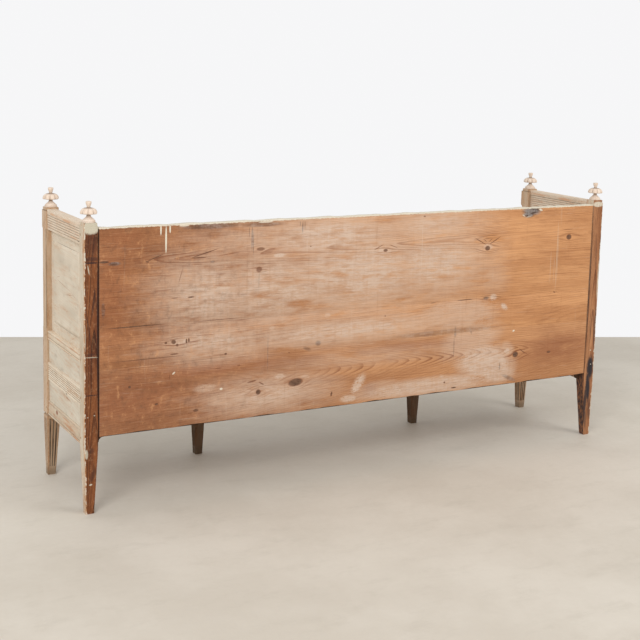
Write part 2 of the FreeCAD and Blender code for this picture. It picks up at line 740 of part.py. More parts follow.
# Middle front legs. Each is a stile between the bottom rails and the front panels, tenoned up
# into the seat rail, and its leg has a plain rear face.
stile_xs = (stile_inner_x, stile_outer_x)
middle_foot_xs = (middle_leg_place - foot_width / 2, middle_leg_place + foot_width / 2)
middle_foot_ys = (front_y + middle_foot_inset, front_y + middle_foot_inset + foot_width)
stile_parts = [
    block("right_middle_leg_stile", stile_xs, front_ys, (block_bottom, seat_rail_bottom)),
    block("right_middle_leg_tenon", (stile_inner_x + tenon_shoulder,
                                     stile_outer_x - tenon_shoulder),
          (groove_front_y, groove_rear_y),
          (seat_rail_bottom, seat_rail_bottom + groove_depth)),
]
stile_parts += fluted_leg("right_middle_leg", stile_xs, front_ys, middle_foot_xs,
                          middle_foot_ys, ("outer", "inner", "front"))
stile_cuts = []
for side, face, way in (("outer", stile_outer_x, -1), ("inner", stile_inner_x, 1)):
    for kind, depth, low, high in (
            ("mortise", short_tenon + edge_slack,
             bottom_rail_bottom + tenon_shoulder - groove_slack,
             bottom_rail_top - tenon_shoulder + groove_slack),
            ("groove", groove_depth + edge_slack,
             bottom_rail_top - groove_depth - edge_slack, seat_rail_bottom)):
        reach = face + depth * way
        stile_cuts.append(block(
            "right_middle_leg_" + side + "_" + kind,
            (reach, face) if way < 0 else (face, reach),
            (groove_front_y - groove_slack, groove_rear_y + groove_slack), (low, high)))
    stile_cuts.append(peg_shape(
        "right_middle_leg_" + side + "_bore",
        (face + short_tenon / 2 * way, front_y - edge_slack,
         (bottom_rail_bottom + bottom_rail_top) / 2),
        bore_radius, peg_length + edge_slack, "y"))
right_middle_leg = without("right_middle_leg",
                           together("right_middle_leg_stock", stile_parts), stile_cuts)
end_posts.append(finished(right_middle_leg, "right_middle_leg"))

# Front of the seat box: one long reeded rail between the corner posts, and under it panels and
# bottom rails in three bays between the posts and the middle legs.
front_cheeks = (-groove_rear_y, -groove_front_y)


def front_rail(label, kind, low_x, high_x, grooved):
    """A rail of the front between two posts or stiles, padded along the bench."""
    low, high = front_rail_places[kind]
    if kind == "seat_rail":
        face = reeded_face(-rail_front_y, low, high, seat_bead_height, seat_reed_count, -1)
    else:
        face = beaded_face(-rail_front_y, low, high, -1)
    plain_rear = [(-rail_rear_y, low, zero), (-rail_rear_y, high, zero)]
    body = rail(label, high_x - low_x, front_tenons[kind], (plain_rear, face), front_cheeks,
                (low, high), grooved)
    # The rail is drawn along Y like an end rail, and a quarter turn lays it along X.
    body.Placement.Rotation = FreeCAD.Rotation(FreeCAD.Vector(0, 0, 1), -90)
    bind_place(body, (low_x + high_x) / 2, zero, zero)
    half_tenon = front_tenons[kind] / 2
    holes = [peg_shape(label + "_hole_" + side, (place, rail_front_y, (low + high) / 2),
                       bore_radius, rail_thickness, "y")
             for side, place in (("low", low_x - half_tenon), ("high", high_x + half_tenon))]
    return finished(without(label, body, holes), label)


front_rail("front_seat_rail", "seat_rail", -inner_x, inner_x, ("bottom",))
front_rail("front_bottom_rail_centre", "bottom_rail", -stile_inner_x, stile_inner_x, ("top",))
right_bottom_rail = front_rail("front_bottom_rail_right", "bottom_rail", stile_outer_x, inner_x,
                               ("top",))


def front_panel(label, low_x, high_x):
    """A panel of the seat box, its edges in the grooves and its face nearly level with them."""
    board = block(label + "_board", (low_x - groove_depth, high_x + groove_depth),
                  (groove_front_y, groove_rear_y),
                  (bottom_rail_top - groove_depth, seat_rail_bottom + groove_depth))
    face = block(label + "_face", (low_x + groove_slack, high_x - groove_slack),
                 (front_y + flush_panel_setback, groove_front_y),
                 (bottom_rail_top + groove_slack, seat_rail_bottom - groove_slack))
    return finished(together(label, [board, face]), label)


front_panel("front_panel_centre", -stile_inner_x, stile_inner_x)
right_front_panel = front_panel("front_panel_right", stile_outer_x, inner_x)

# Back: three wide boards with tongues on their ends and on their lower edges, held in grooves
# in the back posts, over a seat rail and a lower rail with rounded knees at its ends.
board_xs = (-(inner_x - board_gap), inner_x - board_gap)
tongue_xs = (-(inner_x - board_gap + tongue_length), inner_x - board_gap + tongue_length)
tongue_ys = (tongue_front_y, tongue_rear_y)
board_ys = (board_front_y, back_y)
edge_tongue = groove_depth


def back_board(label, low, high, tongue_below, groove_above):
    """One wide board of the back."""
    parts = [block(label + "_board", board_xs, board_ys, (low, high)),
             block(label + "_end_tongues", tongue_xs, tongue_ys, (low, high))]
    if tongue_below:
        parts.append(block(label + "_edge_tongue", board_xs, tongue_ys,
                           (low - edge_tongue, low)))
    board = together(label + "_stock" if groove_above else label, parts)
    if groove_above:
        board = without(label, board, [block(
            label + "_edge_groove", tongue_xs,
            (tongue_front_y - groove_slack, tongue_rear_y + groove_slack),
            (high - edge_tongue - edge_slack, high))])
    return finished(board, label)


back_board("back_top_board", upper_joint + joint_gap, back_top, True, False)
back_board("back_middle_board", lower_joint + joint_gap, upper_joint, True, True)
back_board("back_bottom_board", back_bottom, lower_joint, False, True)


def back_rail(label, knees):
    """A rail behind the back boards, tenoned into the back posts."""
    low, high = back_rail_places[label]
    body = doc.addObject("PartDesign::Body", label + "_board")
    corners = [(-inner_x, low, zero), (inner_x, low, zero)]
    if knees:
        corners = [(-inner_x, low - knee_drop, zero),
                   (-(inner_x - knee_flat), low - knee_drop, -knee_bow),
                   (-(inner_x - knee_length), low, zero),
                   (inner_x - knee_length, low, -knee_bow),
                   (inner_x - knee_flat, low - knee_drop, zero),
                   (inner_x, low - knee_drop, zero)]
    corners += [(inner_x, high, zero), (-inner_x, high, zero)]
    profile = outline(body, label + "_profile", "XZ_Plane", corners)
    padded(body, profile, back_rail_thickness, label + "_stick")
    bind_place(body, zero, (back_rail_ys[0] + back_rail_ys[1]) / 2, zero)
    reach = inner_x + back_rail_tenon
    tenons = block(label + "_tenons", (-reach, reach), back_tenon_ys,
                   (low + tenon_shoulder, high - tenon_shoulder))
    return finished(together(label, [body, tenons]), label)


# Seat: three boards laid along the bench on the rails, on ledgers at the ends and on bearers
# let in between the front and back rails. The outer boards are notched round the posts.
seat_bottom = seat_rail_top
seat_top = seat_bottom + seat_thickness
seat_zs = (seat_bottom, seat_top)
wide_x = rail_inner_x - seat_gap / 2
narrow_x = inner_x - seat_gap / 2
front_board_rear = front_y + front_board_width
middle_board_front = front_board_rear + seat_gap
middle_board_rear = middle_board_front + middle_board_width
notch_slack = seat_gap / 2


def seat_board(label, front, rear, parts):
    """A seat board that reaches the end rails, with its narrower parts beside the posts."""
    wide = block(label + "_wide", (-wide_x, wide_x), (front, rear), seat_zs)
    return finished(together(label, [wide] + parts), label)


nose = doc.addObject("PartDesign::Body", "seat_front_nose")
nose_y = front_y + nosing_bow
nose_rear = front_inner_y + notch_slack
padded(nose, outline(nose, "seat_front_nose_profile", "YZ_Plane",
                     [(nose_y, seat_bottom, zero), (nose_rear, seat_bottom, zero),
                      (nose_rear, seat_top, zero), (nose_y, seat_top, nosing_bow)]),
       2 * narrow_x, "seat_front_nose_stick")
seat_board("seat_front_board", nose_rear, front_board_rear, [nose])
seat_board("seat_middle_board", middle_board_front, middle_board_rear, [])
rear_notch = back_inner_y - notch_slack
seat_board("seat_back_board", middle_board_rear + seat_gap, rear_notch,
           [block("seat_back_tail", (-narrow_x, narrow_x), (rear_notch, board_front_y),
                  seat_zs)])
for number, place in enumerate((-bearer_place, zero, bearer_place), 1):
    label = "seat_bearer_" + str(number)
    finished(block(label, (place - bearer_width / 2, place + bearer_width / 2),
                   (rail_rear_y, back_rail_ys[0]),
                   (seat_bottom - bearer_height, seat_bottom)), label)
right_ledger = finished(block("right_end_ledger", (rail_inner_x - ledger_width, rail_inner_x),
                              (front_inner_y, back_inner_y),
                              (seat_bottom - ledger_height, seat_bottom)), "right_end_ledger")
back_rail("back_seat_rail", False)
back_rail("back_bottom_rail", True)

# Turned finials. One profile, spun, gives the bell, stem, neck and knob, a loft through rings of
# lobes gives the umbrella-like cap, and a six-sided tenon goes down into the post.
finial = doc.addObject("PartDesign::Body", "turned_finial")
finial_profile = outline(finial, "finial_profile", "XZ_Plane", [
    (zero, zero, zero),
    (finial_base_radius, zero, zero),
    (finial_base_radius, finial_base_edge, zero),
    (bell_shoulder, bell_shoulder_height, zero),
    (bell_radius, bell_top, zero),
    (stem_radius, stem_bottom, zero),
    (neck_radius, cap_top, zero),
    (knob_radius, knob_side_top, zero),
    (knob_top_radius, finial_height, zero),
    (zero, finial_height, zero),
])
spun = finial.newObject("PartDesign::Revolution", "finial_spun")
spun.Profile = finial_profile
spun.ReferenceAxis = (finial_profile, ["V_Axis"])
spun.Angle = 360


def ring_place(radius, turn_share):
    """A corner at a radius, after a share of a full turn from the X axis."""
    angle = 2 * math.pi * turn_share
    return (radius * round(math.cos(angle), 6), radius * round(math.sin(angle), 6), zero)


def lobed_ring(name, radius, height):
    """A ring of lobes round the cap, each with two corners and a notch beside it."""
    corners = []
    for lobe in range(lobe_count):
        for side_share, reach in ((-lobe_width_share / 2, radius), (lobe_width_share / 2, radius),
                                  (1 / 2, radius * notch_share)):
            corners.append(ring_place(reach, (lobe + side_share) / lobe_count))
    ring = outline(finial, name, "XY_Plane", corners)
    ring.setExpression("AttachmentOffset.Base.z", height.formula)
    return ring


rings = [lobed_ring("rim_underside", rim_inner_radius, rim_bottom),
         lobed_ring("rim_edge", cap_radius, cap_widest),
         lobed_ring("cap_shoulder", cap_shoulder, cap_shoulder_height),
         lobed_ring("cap_crown", cap_top_radius, cap_top)]
cap = finial.newObject("PartDesign::AdditiveLoft", "finial_cap")
cap.Profile = rings[0]
cap.Sections = rings[1:]
cap.Ruled = True

spigot = finial.newObject("PartDesign::Pad", "finial_spigot")
spigot.Profile = outline(finial, "finial_spigot_outline", "XY_Plane",
                         [ring_place(spigot_radius, corner / spigot_sides)
                          for corner in range(spigot_sides)])
spigot.Reversed = True
bind(spigot, "Length", spigot_length)
finial.Tip = spigot
bind_place(finial, zero, zero, plate_top)
for row, y in (("front", -post_y), ("back", post_y)):
    pair = []
    for side, x in (("right", post_x), ("left", -post_x)):
        copy = doc.addObject("App::Link", side + "_" + row + "_finial")
        copy.LinkedObject = finial
        copy.LinkTransform = True
        bind_place(copy, x, y, zero)
        pair.append(copy)
    finished(grouped(row + "_finials", pair), row + "_finials")

# Wooden pegs through the joints, a little proud of the posts.
end_pegs = []
for kind, (low, high) in end_rail_places.items():
    for side, place in zip(("front", "back"), end_peg_places):
        end_pegs.append(peg_shape("right_peg_" + side + "_" + kind,
                                  (end_peg_start, place, (low + high) / 2),
                                  peg_radius, peg_length, "x"))
right_end_pegs = finished(grouped("right_end_pegs", end_pegs), "right_end_pegs")
front_pegs = []
for kind, face, way in (("seat_rail", inner_x, 1), ("bottom_rail", inner_x, 1),
                        ("bottom_rail", stile_outer_x, -1), ("bottom_rail", stile_inner_x, 1)):
    low, high = front_rail_places[kind]
    front_pegs.append(peg_shape("right_front_peg_" + str(len(front_pegs) + 1),
                                (face + front_tenons[kind] / 2 * way, front_y - peg_proud,
                                 (low + high) / 2),
                                peg_radius, peg_length, "y"))
right_front_pegs = finished(grouped("right_front_pegs", front_pegs), "right_front_pegs")

# The left end and the left half of the front mirror the right.
across = FreeCAD.Vector(1, 0, 0)
for piece in end_pieces + end_posts + [right_ledger, right_end_pegs, right_front_pegs]:
    mirrored(piece, piece.Label.replace("right", "left", 1), across)
mirrored(right_bottom_rail, "front_bottom_rail_left", across)
mirrored(right_front_panel, "front_panel_left", across)

doc.recompute()

faults = [piece.Label for piece in doc.Objects
          if "Invalid" in piece.State or "Error" in piece.State]
for piece in nodes:
    if piece.Shape.isNull() or not piece.Shape.isValid() or not piece.Shape.Solids:
        faults.append(piece.Label + " has no sound solid")
if faults:
    raise RuntimeError("Not built: " + ", ".join(faults))

os.makedirs("parts", exist_ok=True)
for piece in nodes:
    piece.Shape.exportStep("parts/" + piece.Label + ".step")
print(len(nodes), "sub-parts written")
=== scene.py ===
import math

import bpy
import numpy as np
from mathutils import Matrix, Vector


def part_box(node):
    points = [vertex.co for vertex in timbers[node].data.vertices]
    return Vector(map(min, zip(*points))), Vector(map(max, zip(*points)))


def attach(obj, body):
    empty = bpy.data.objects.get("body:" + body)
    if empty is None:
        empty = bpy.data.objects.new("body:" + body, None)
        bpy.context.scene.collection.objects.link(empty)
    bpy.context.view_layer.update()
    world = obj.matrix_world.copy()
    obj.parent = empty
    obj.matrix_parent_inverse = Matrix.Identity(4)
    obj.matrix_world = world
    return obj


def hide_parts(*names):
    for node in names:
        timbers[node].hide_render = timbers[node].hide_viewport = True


# A long pine bench seen from behind: high framed ends in worn cream paint, six tapered legs, a
# back of three wide bare boards and four turned finials. Lengths are in metres, +X is the near
# end, and the back faces +Y.
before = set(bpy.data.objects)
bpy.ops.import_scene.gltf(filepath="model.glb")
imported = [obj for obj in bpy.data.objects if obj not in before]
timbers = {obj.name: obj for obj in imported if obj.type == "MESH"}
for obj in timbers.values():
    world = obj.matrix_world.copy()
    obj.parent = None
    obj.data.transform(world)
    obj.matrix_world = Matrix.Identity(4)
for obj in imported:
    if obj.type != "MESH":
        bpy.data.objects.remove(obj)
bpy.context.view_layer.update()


# The camera stands behind the near end at eye height and looks slightly down along the back.
# Its frame is shifted down the picture, as a view camera's is. Angles are in radians.
eye = Vector((2.1443, 3.7333, 1.4188))
heading = -0.5045
tilt = 0.146
roll = 0.0255
focal_length_pixels = 1241.5
picture_width_pixels = 640
axis_row_pixel = 235
film_width = 36.0

look = Vector((math.sin(heading) * math.cos(tilt), -math.cos(heading) * math.cos(tilt),
               -math.sin(tilt)))
level = look.cross(Vector((0, 0, 1))).normalized()
upright = level.cross(look)
camera_right = level * math.cos(roll) + upright * math.sin(roll)
camera_up = upright * math.cos(roll) - level * math.sin(roll)
camera_data = bpy.data.cameras.new("camera")
camera_data.sensor_width = film_width
camera_data.lens = film_width * focal_length_pixels / picture_width_pixels
camera_data.shift_y = (axis_row_pixel - picture_width_pixels / 2) / picture_width_pixels
camera = bpy.data.objects.new("camera", camera_data)
camera.matrix_world = Matrix((camera_right, camera_up, -look)).transposed().to_4x4()
camera.matrix_world.translation = eye
bpy.context.scene.collection.objects.link(camera)
bpy.context.scene.camera = camera


# The room is a pale concrete floor that stops where the white wall stood, under soft light from
# high on the left, with white all round. The classes and functions here build every finish.
def tone(red, green, blue):
    """A display colour, 0 to 255, as a linear one."""
    return tuple((channel / 255) ** 2.2 for channel in (red, green, blue)) + (1.0,)


class Reading:
    """An output of a node. Arithmetic on it adds the nodes that work it out."""

    def __init__(self, finish, socket):
        """Belongs to a finish."""
        self.finish = finish
        self.socket = socket

    def __add__(self, other):
        """This and the other together."""
        return self.finish.maths("ADD", self, other)

    def __radd__(self, other):
        """The other and this together."""
        return self.finish.maths("ADD", other, self)

    def __sub__(self, other):
        """This less the other."""
        return self.finish.maths("SUBTRACT", self, other)

    def __rsub__(self, other):
        """The other less this."""
        return self.finish.maths("SUBTRACT", other, self)

    def __mul__(self, other):
        """This times the other."""
        return self.finish.maths("MULTIPLY", self, other)

    def __abs__(self):
        """This without its sign."""
        return self.finish.maths("ABSOLUTE", self)

    def band(self, low, high):
        """0 where this is low and 1 where it is high, with a smooth rise between."""
        return self.finish.read("ShaderNodeMapRange",
                                {"Value": self, "From Min": low, "From Max": high}, "Result",
                                interpolation_type="SMOOTHSTEP", clamp=False)

    def within(self, rise, fall):
        """1 past one band and short of another, which falls, and 0 outside both."""
        return self.band(*rise) * self.band(*fall)


class Finish:
    """One finish, or an effect that finishes share. Its methods add nodes and give readings, and
    their inputs may be numbers, colours or readings."""

    def __init__(self, tree):
        """Works on this node tree."""
        self.tree = tree

    def node(self, kind, inputs, **settings):
        """A node with its settings, and with its inputs linked or set."""
        made = self.tree.nodes.new(kind)
        for name, value in settings.items():
            setattr(made, name, value)
        for name, value in inputs.items():
            if isinstance(value, Reading):
                value = value.socket
            if isinstance(value, bpy.types.NodeSocket):
                self.tree.links.new(value, made.inputs[name])
            else:
                made.inputs[name].default_value = value
        return made

    def read(self, kind, inputs, output=0, **settings):
        """One output of a new node."""
        return Reading(self, self.node(kind, inputs, **settings).outputs[output])

    def maths(self, operation, *terms):
        """Arithmetic by its node's name."""
        return self.read("ShaderNodeMath", dict(enumerate(terms)), operation=operation)

    def vector_maths(self, operation, *vectors, output=0):
        """Arithmetic on vectors by its node's name. A number comes out as output 1."""
        return self.read("ShaderNodeVectorMath", dict(enumerate(vectors)), output,
                         operation=operation)

    def greatest(self, first, second):
        """The greater of the two."""
        return self.maths("MAXIMUM", first, second)

    def mix(self, share, first, second):
        """The first colour with this share of the second."""
        return self.read("ShaderNodeMix", {0: share, 6: first, 7: second}, 2, data_type="RGBA",
                         blend_type="MIX")

    def tint(self, colour, share, strength, other):
        """The colour with a share, times a strength, of the other."""
        return self.mix(share * strength, colour, other)

    def layered(self, colour, *layers):
        """A colour under layers, each with its share, its strength and its own colour."""
        for layer in layers:
            colour = self.tint(colour, *layer)
        return colour

    def attribute(self, name):
        """A mark of the mesh."""
        return self.read("ShaderNodeAttribute", {}, "Fac", attribute_name=name)

    def noise(self, vector, stretch, detail=2.0, roughness=0.5):
        """Cloudy noise from 0 to 1, with this many clouds to a metre along each axis."""
        return self.read("ShaderNodeTexNoise",
                         {"Vector": self.vector_maths("MULTIPLY", vector, stretch), "Scale": 1.0,
                          "Detail": detail, "Roughness": roughness})

    def named(self, outputs):
        """Readings of a node's outputs by their names."""
        return {socket.name: Reading(self, socket) for socket in outputs}

    def parts(self, vector):
        """The x, y and z of a vector."""
        return self.named(self.node("ShaderNodeSeparateXYZ", {0: vector}).outputs).values()

    def joined(self, x, y, z):
        """A vector of three numbers."""
        return self.read("ShaderNodeCombineXYZ", {0: x, 1: y, 2: z})

    def effect(self, tree, inputs):
        """A shared effect at work here, with its readings by name."""
        return self.named(self.node("ShaderNodeGroup", inputs, node_tree=tree).outputs)

    def shared(self, **results):
        """Ends a shared effect: links its outputs by name and returns its tree."""
        for title, reading in results.items():
            self.tree.links.new(reading.socket, self.result[title])
        return self.tree


def new_finish(name):
    """A material with its shader and its place on the bench ready to use."""
    material = bpy.data.materials.new(name)
    material.use_nodes = True
    finish = Finish(material.node_tree)
    finish.material = material
    finish.shader = material.node_tree.nodes["Principled BSDF"]
    finish.place = finish.read("ShaderNodeTexCoord", {}, "Object")
    return finish


def lay_on(finish, colour, roughness, height, relief):
    """Gives a finish its colour, its roughness and a relief of so many metres."""
    sheen = 0.25
    inputs = finish.shader.inputs
    finish.tree.links.new(colour.socket, inputs["Base Color"])
    finish.tree.links.new(roughness.socket, inputs["Roughness"])
    inputs["Specular IOR Level"].default_value = sheen
    bump = finish.node("ShaderNodeBump", {"Height": height, "Distance": relief})
    finish.tree.links.new(bump.outputs[0], inputs["Normal"])
    return finish.material


def floor_under(column, row):
    """Where the line of sight through a pixel meets the floor."""
    sight = (look * focal_length_pixels + camera_right * (column - picture_width_pixels / 2)
             + camera_up * (axis_row_pixel - row))
    return eye - sight * (eye.z / sight.z)


wall_row_pixel = 337
wall_colour = tone(246, 246, 247)
room_tint = (1.0, 0.985, 0.965, 1.0)
room_light = 0.635
floor_pale = tone(219, 212, 200)
floor_dull = tone(207, 199, 186)
floor_worn = tone(184, 176, 162)
floor_reach = 14.0
wall_left = floor_under(0, wall_row_pixel)
wall_right = floor_under(picture_width_pixels, wall_row_pixel)
along_wall = (wall_right - wall_left).normalized()
from_wall = Vector((0, 0, 1)).cross(along_wall)
if from_wall.dot(eye - wall_left) < 0:
    from_wall.negate()
wall_middle = (wall_left + wall_right) / 2
floor_corners = [wall_middle + along_wall * side * floor_reach + from_wall * away * floor_reach
                 for side, away in ((-1, 0), (1, 0), (1, 1), (-1, 1))]
floor_mesh = bpy.data.meshes.new("floor")
floor_mesh.from_pydata(floor_corners, [], [(0, 1, 2, 3)])
floor = bpy.data.objects.new("floor", floor_mesh)
bpy.context.scene.collection.objects.link(floor)

concrete = new_finish("concrete")
clouds = concrete.noise(concrete.place, (1.3, 1.3, 1.3), 5.0, 0.62)
grit = concrete.noise(concrete.place, (60.0, 60.0, 60.0), 3.0)
smears = concrete.noise(concrete.place, (5.0, 11.0, 5.0), 6.0, 0.72)
floor_colour = concrete.layered(concrete.mix(clouds.band(0.35, 0.65), floor_dull, floor_pale),
                                (grit, 0.12, floor_dull),
                                (smears.band(0.50, 0.70), 0.22, floor_worn))
floor_mesh.materials.append(lay_on(concrete, floor_colour, grit.band(-1.0, 1.6), grit, 0.0004))

world = bpy.data.worlds.new("white_room")
world.use_nodes = True
bpy.context.scene.world = world
sky = Finish(world.node_tree)
seen = sky.node("ShaderNodeLightPath", {})
shown = sky.greatest(seen.outputs["Is Camera Ray"], seen.outputs["Is Glossy Ray"])
shown = sky.greatest(shown, seen.outputs["Is Transmission Ray"])
lit = world.node_tree.nodes["Background"]
lit.inputs["Color"].default_value = room_tint
lit.inputs["Strength"].default_value = room_light
plain = sky.node("ShaderNodeBackground", {"Color": wall_colour, "Strength": 1.0})
both = sky.node("ShaderNodeMixShader", {0: shown, 1: lit.outputs[0], 2: plain.outputs[0]})
sky.tree.links.new(both.outputs[0], world.node_tree.nodes["World Output"].inputs["Surface"])

bpy.context.scene.view_settings.view_transform = "Standard"
bench_middle = Vector((0.0, 0.0, 0.45))
for name, spot, width, watts in (("key_light", Vector((4.4, 4.1, 3.8)), 2.8, 180.0),
                                 ("fill_light", Vector((-3.2, 4.2, 3.4)), 3.0, 98.0)):
    lamp_data = bpy.data.lights.new(name, "AREA")
    lamp_data.size = width
    lamp_data.energy = watts
    lamp = bpy.data.objects.new(name, lamp_data)
    lamp.location = spot
    lamp.rotation_euler = (bench_middle - spot).to_track_quat("-Z", "Y").to_euler()
    bpy.context.scene.collection.objects.link(lamp)


# The back is three wide pine boards, sawn flat and left bare, tongued into the back posts. They
# are orange-brown with age, washed pale in the middle, with old knots, stains and paint drips.
def span(node, axis):
    """Where a timber of the frame starts and stops along X, Y or Z (0, 1 or 2)."""
    return tuple(round(corner[axis], 6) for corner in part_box(node))


def new_effect(name, vectors, values, outputs):
    """A shared effect, ready for its nodes: given holds its inputs and result its outputs."""
    tree = bpy.data.node_groups.new(name, "ShaderNodeTree")
    for title in vectors:
        tree.interface.new_socket(title, in_out="INPUT", socket_type="NodeSocketVector")
    for title in values:
        tree.interface.new_socket(title, in_out="INPUT", socket_type="NodeSocketFloat")
    for title in outputs:
        tree.interface.new_socket(title, in_out="OUTPUT", socket_type="NodeSocketFloat")
    effect = Finish(tree)
    effect.given = effect.named(tree.nodes.new("NodeGroupInput").outputs)
    effect.result = tree.nodes.new("NodeGroupOutput").inputs
    return effect


def pine_figure():
    """Growth rings of a log whose grain runs along X, cut by whatever surface reads them.

    A ring's number is the distance from the log's heart, plus the lean times the way along, over
    the ring spacing. The log so tapers, which turns the lines on a flat face into nested flames,
    and slow noise makes them waver. Each ring darkens slowly and ends sharply.
    """
    figure = new_effect("pine_figure", ("Vector",), ("Spacing", "Lean", "Waver"),
                        ("Rings", "Fibre"))
    vector = figure.given["Vector"]
    along, across, deep = figure.parts(vector)
    waver = figure.given["Waver"]
    across = across + (figure.noise(vector, (1.6, 7.0, 7.0), 3.0) - 0.5) * waver
    deep = deep + (figure.noise(vector, (1.1, 0.4, 0.4), 2.0) - 0.5) * (waver * 1.6)
    reach = figure.maths("SQRT", across * across + deep * deep)
    lean = along * figure.given["Lean"]
    ring = figure.maths("DIVIDE", reach + lean, figure.given["Spacing"])
    ring = ring + figure.noise(vector, (5.0, 70.0, 70.0), 2.0) * 0.5
    share = figure.maths("FRACT", ring)
    line = share.within((0.45, 0.93), (1.0, 0.96))
    strength = figure.read("ShaderNodeTexWhiteNoise", {"W": figure.maths("FLOOR", ring)},
                           "Value", noise_dimensions="1D")
    return figure.shared(Rings=line * (strength * 0.6 + 0.4),
                         Fibre=figure.noise(vector, (9.0, 520.0, 520.0), 3.0, 0.6))


pine_rings = pine_figure()


def oval_mark():
    """How full one oval mark is at a place, from 0 to its strength.

    The place's second axis carries raggedness. The distance from the middle is the root of three
    squares: the shares of the way to the rim across and up, and the raggedness. The mark fades
    out over its edge, which ends at a distance of 1.
    """
    mark = new_effect("oval_mark", ("Place", "Middle", "Across", "Up"), ("Edge", "Strength"),
                      ("Mask",))
    offset = mark.vector_maths("SUBTRACT", mark.given["Place"], mark.given["Middle"])
    across, ragged, up = (mark.vector_maths("DOT_PRODUCT", offset, axis, output=1)
                          for axis in (mark.given["Across"], (0, 1, 0), mark.given["Up"]))
    reach = mark.vector_maths("LENGTH", mark.joined(across, ragged, up), output=1)
    return mark.shared(Mask=reach.band(1.0, 1.0 - mark.given["Edge"]) * mark.given["Strength"])


oval = oval_mark()


def marks_on(finish, place, marks, edge):
    """The strongest of several ovals (x, z, half width, half height, turn, strength)."""
    total = None
    for x, z, half_width, half_height, turn, strength in marks:
        angle = math.radians(turn)
        mask = finish.effect(oval, {
            "Place": place, "Middle": (x, 0.0, z),
            "Across": (math.cos(angle) / half_width, 0.0, math.sin(angle) / half_width),
            "Up": (-math.sin(angle) / half_height, 0.0, math.cos(angle) / half_height),
            "Edge": edge, "Strength": strength})["Mask"]
        total = mask if total is None else finish.greatest(total, mask)
    return total


